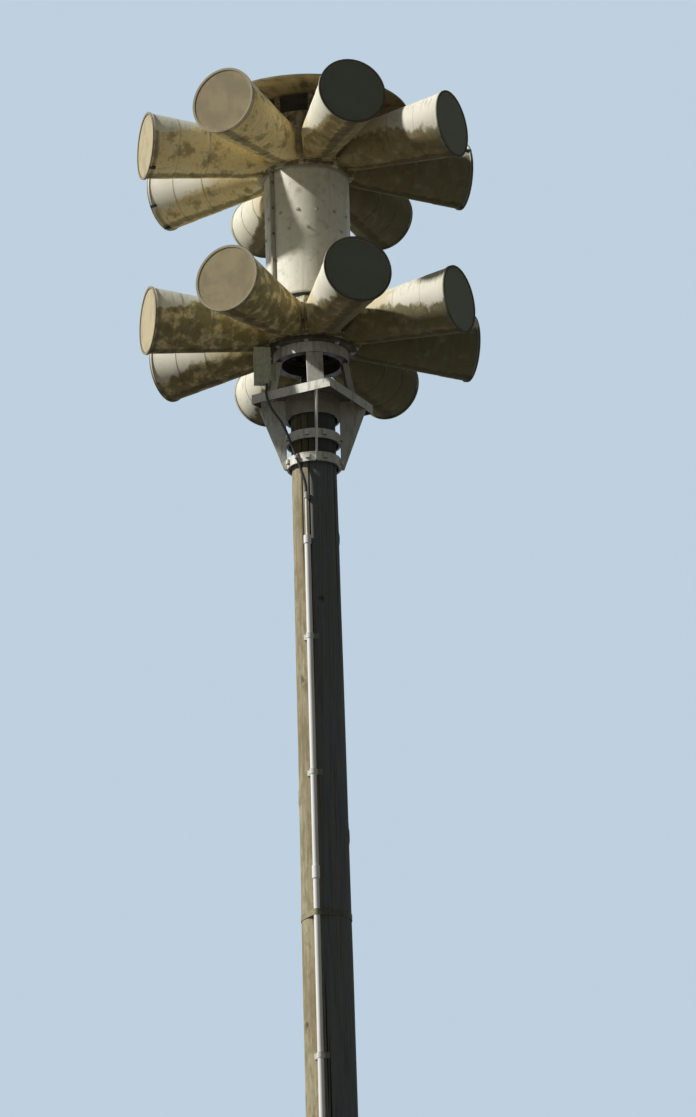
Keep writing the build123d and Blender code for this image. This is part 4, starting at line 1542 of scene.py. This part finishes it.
@dataclass
class Pole(Assembly):
    """The timber pole with its checks and knots, in place of the plain CAD pole.

    The check's ranges are of its azimuth, height, length, depth, width and lean, drawn in that order. The
    flutes' cells are a weight and the lattice cells up and round. A knot has its azimuth and height.
    """

    height: float = 10.538
    base_radius: float = 0.163
    top_radius: float = 0.123
    butt_bevel: float = 0.006
    columns: int = 240
    rows: int = 300
    knot_rows: int = 7
    least_step: float = 0.003
    flute_depth: float = 0.0011
    flute_cells: tuple[tuple[float, int, int], ...] = ((1.0, 9, 64), (0.6, 26, 30))
    check_count: int = 34
    check_ranges: tuple[tuple[float, float], ...] = ((-180, 180), (0.4, 10.038), (0.35, 1.6), (0.003, 0.009),
                                                     (0.0028, 0.0045), (-1.5, 1.5))
    knot_reach: float = 0.030
    knot_zone: float = 0.045
    knot_height: float = 0.0045
    smooth_angle: float = 60.0
    knots: tuple[tuple[float, float], ...] = (
        (-16.8, 8.884), (-61.0, 8.248), (-31.8, 6.977), (37.9, 9.338), (-84.0, 5.62), (64.0, 6.31),
        (112.0, 8.02), (151.0, 5.05), (-140.0, 7.25), (-172.0, 9.02), (-43.0, 3.92), (82.0, 3.10),
        (-118.0, 2.36), (28.0, 1.55), (170.0, 3.75), (-96.0, 9.55), (132.0, 9.72),
    )
    seed: int = 41

    def levels(self) -> np.ndarray:
        """Heights of the rings: even, and closer at the knots and the butt's bevel."""
        even = np.linspace(self.butt_bevel, self.height, self.rows)
        zone = np.linspace(-self.knot_zone, self.knot_zone, self.knot_rows)
        near = [level + zone for _, level in self.knots]
        levels = np.unique(np.round(np.concatenate([even, [0.0], *near]), 4))
        keep = np.concatenate([[True], np.diff(levels) > self.least_step])
        keep[-1] = True
        return levels[keep]

    def check(self, draws: list[float], apart: np.ndarray, rise: np.ndarray, taper: np.ndarray) -> np.ndarray:
        """One check: a groove exp(-(arc / width) squared) whose depth falls as 1 - (rise / length) squared.

        Args:
            draws: The check's length, width and lean.
            apart: Degrees from its azimuth, shaped (rings, points).
            rise: Heights above its middle, shaped (rings, 1).
            taper: The pole's plain radius, shaped (rings, 1).

        Returns:
            The groove's depth from 0 to 1.
        """
        length, width, lean = draws
        arc = np.radians((apart - lean * rise + 180) % 360 - 180) * taper
        return np.exp(-(arc / width) ** 2) * np.clip(1 - (rise / length) ** 2, 0, 1)

    def knot(self, centre: float, level: float, apart: np.ndarray,
             rise: np.ndarray) -> tuple[np.ndarray, np.ndarray]:
        """One knot: a ring-shaped swelling round a dimple.

        The swelling is exp(-((r - 0.75) / 0.42) squared) and the dimple exp(-(r / 0.45) squared), where r is
        hypot(apart, rise) over the knot's reach, which wobbles round it.

        Args:
            centre: Its azimuth.
            level: Its height.
            apart: Arc from its azimuth, shaped (1 or rings, points).
            rise: Heights above it, drawn in, shaped (rings, 1).

        Returns:
            What it adds to the radius, and how hollow it looks.
        """
        around = np.arctan2(rise, apart)
        wobble = 1 + 0.2 * np.cos(2 * around + centre) + 0.14 * np.cos(3 * around + 5 * level)
        reach = np.hypot(apart, rise) / (self.knot_reach * wobble)
        swelling = self.knot_height * (np.exp(-((reach - 0.75) / 0.42) ** 2) - np.exp(-(reach / 0.45) ** 2))
        return swelling, 0.5 * np.exp(-(reach / 0.75) ** 2)

    def shell(self) -> Shell:
        """Rings of radius taper + flutes - checks + knots about Z.

        The taper is linear, and flutes are smooth noise drawn out upwards.
        """
        rng = np.random.default_rng(self.seed)
        levels = self.levels()[:, None]
        share = levels / self.height
        azimuth = np.arange(self.columns) * 360.0 / self.columns
        taper = self.base_radius + (self.top_radius - self.base_radius) * share
        flutes = sum(weight * smooth_field(rng, share[:, 0], self.columns, *cells)
                     for weight, *cells in self.flute_cells)
        radius = taper + self.flute_depth * (flutes - 1.0)
        hollow = np.zeros_like(radius)
        for _ in range(self.check_count):
            centre, middle, length, depth, width, lean = (rng.uniform(*ends) for ends in self.check_ranges)
            groove = self.check([length, width, lean], azimuth - centre, levels - middle, taper)
            radius -= depth * groove
            hollow = np.maximum(hollow, groove)
        for centre, level in self.knots:
            apart = np.radians((azimuth - centre + 180) % 360 - 180) * taper
            swelling, dark = self.knot(centre, level, apart, (levels - level) * 0.8)
            radius += swelling
            hollow = np.maximum(hollow, dark)
        radius -= np.clip(1 - levels / self.butt_bevel, 0, 1) * self.butt_bevel
        rings = outward(azimuth) * radius[..., None]
        rings[..., 2] = levels
        shell = closed_stack(rings)
        shell.hollow = np.concatenate([hollow.ravel(), [0.0, 0.0]])
        return shell

    def build(self) -> None:
        """Builds the timber surface in the CAD pole's place."""
        piece = self.piece("timber_pole", self.shell(), self.finishes.timber, self.smooth_angle)
        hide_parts("pole")


@dataclass
class Wiring(Assembly):
    """The box, the lead, the tube and the conduit."""

    def build(self) -> None:
        """Dresses the CAD nodes of the feed."""
        finishes = self.finishes
        self.dress(finishes.box, "junction_box")
        self.dress(finishes.rubber, "feed_cable")
        self.dress(finishes.clamp, "cable_clamps")
        self.dress(finishes.strap, "conduit_straps")
        self.dress(finishes.pole_band, "pole_band")
        self.dress(finishes.tube, "cable_tube")
        self.dress(finishes.conduit, "conduit", "conduit_couplings")


# View and light


@dataclass
class Studio:
    """The photographed view, a soft lamp, a pale surround and a pale floor."""

    azimuth: float = 28.54
    distance: float = 22.1767
    eye: float = 1.6
    yaw: float = 0.007736
    pitch: float = 0.3465
    roll: float = -0.03022
    lens: float = 138.67
    sensor: float = 36.0
    farthest: float = 200.0
    lamp_azimuth: float = -48.0
    lamp_elevation: float = 34.5
    lamp_strength: float = 3.8
    lamp_spread: float = 2.2
    lamp_colour: Colour = (1.0, 0.975, 0.93)
    sky_light: float = 0.10
    sky_colour: Colour = (1.0, 0.99, 0.93)
    surround: Colour = (0.52, 0.635, 0.74)
    floor_half: float = 40.0
    floor_lit: Colour = (0.16, 0.155, 0.14)
    floor_seen: tuple[Colour, Colour] = ((0.80, 0.83, 0.86), (0.76, 0.79, 0.83))
    floor_grain: Grain = (0.6, 4.0)
    floor_cut: Cut = (0.3, 0.7)

    def camera(self) -> None:
        """Sets the camera: its axes are worked out facing +Y, then turned by its azimuth about Z."""
        ahead = np.array([math.sin(self.yaw) * math.cos(self.pitch),
                          math.cos(self.yaw) * math.cos(self.pitch), math.sin(self.pitch)])
        level = np.array([math.cos(self.yaw), -math.sin(self.yaw), 0.0])
        upright = np.cross(level, ahead)
        local = np.eye(4)
        local[:3, 0] = math.cos(self.roll) * level + math.sin(self.roll) * upright
        local[:3, 1] = -math.sin(self.roll) * level + math.cos(self.roll) * upright
        local[:3, 2] = -ahead
        local[1:3, 3] = -self.distance, self.eye
        data = bpy.data.cameras.new("view")
        data.lens, data.sensor_width, data.clip_end = self.lens, self.sensor, self.farthest
        camera = linked("view", data)
        camera.matrix_world = Matrix.Rotation(math.radians(self.azimuth), 4, "Z") @ Matrix(local.tolist())
        bpy.context.scene.camera = camera

    def lamp(self) -> None:
        """A distant soft lamp from the upper left."""
        data = bpy.data.lights.new("key", "SUN")
        data.energy, data.color = self.lamp_strength, self.lamp_colour
        data.angle = math.radians(self.lamp_spread)
        tilt = Matrix.Rotation(math.radians(90 - self.lamp_elevation), 4, "X")
        linked("key", data).matrix_world = Matrix.Rotation(math.radians(self.lamp_azimuth), 4, "Z") @ tilt

    def seen(self, graph: Graph) -> Value:
        """1 for camera, glossy and transmission rays."""
        path = graph.node("ShaderNodeLightPath").outputs
        view, glossy, through = (Value(graph, path[f"Is {kind} Ray"])
                                 for kind in ("Camera", "Glossy", "Transmission"))
        return view.or_more(glossy).or_more(through)

    def surroundings(self) -> None:
        """The pale surround, which lights the object at a plain level."""
        world = bpy.data.worlds.new("surround")
        world.use_nodes = True
        graph = Graph(world.node_tree)
        back = world.node_tree.nodes["Background"].inputs
        seen = self.seen(graph)
        graph.feed(back["Color"], graph.mix(seen, self.sky_colour, self.surround))
        graph.feed(back["Strength"], seen * (1.0 - self.sky_light) + self.sky_light)
        bpy.context.scene.world = world

    def floor(self) -> None:
        """A level pale floor under the pole's butt."""
        half = self.floor_half
        mesh = bpy.data.meshes.new("floor")
        corners = [(-half, -half, 0), (half, -half, 0), (half, half, 0), (-half, half, 0)]
        mesh.from_pydata(corners, [], [(0, 1, 2, 3)])
        material = bpy.data.materials.new("pale floor")
        material.use_nodes = True
        graph = Graph(material.node_tree)
        shader = material.node_tree.nodes["Principled BSDF"].inputs
        grain = graph.noise(graph.position(), *self.floor_grain).ramp(*self.floor_cut)
        pale = graph.mix(grain, *self.floor_seen)
        graph.feed(shader["Base Color"], graph.mix(self.seen(graph), self.floor_lit, pale))
        shader["Roughness"].default_value = 0.9
        shader["Specular IOR Level"].default_value = 0.1
        mesh.materials.append(material)
        linked("floor", mesh)

    def build(self) -> None:
        """Sets the view, the lamp, the surround and the floor."""
        bpy.context.scene.view_settings.view_transform = "Standard"
        self.camera()
        self.lamp()
        self.surroundings()
        self.floor()


def main() -> None:
    """Builds the view, then each sub-assembly."""
    logging.basicConfig(level=logging.INFO, format="%(name)s: %(message)s")
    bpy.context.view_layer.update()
    Studio().build()
    palette, finishes = Palette(), Finishes()
    for assembly in (Pole, Bracket, Housing, Horns, Wiring):
        assembly(palette, finishes).build()
    bpy.context.view_layer.update()


if __name__ == "__main__":
    main()
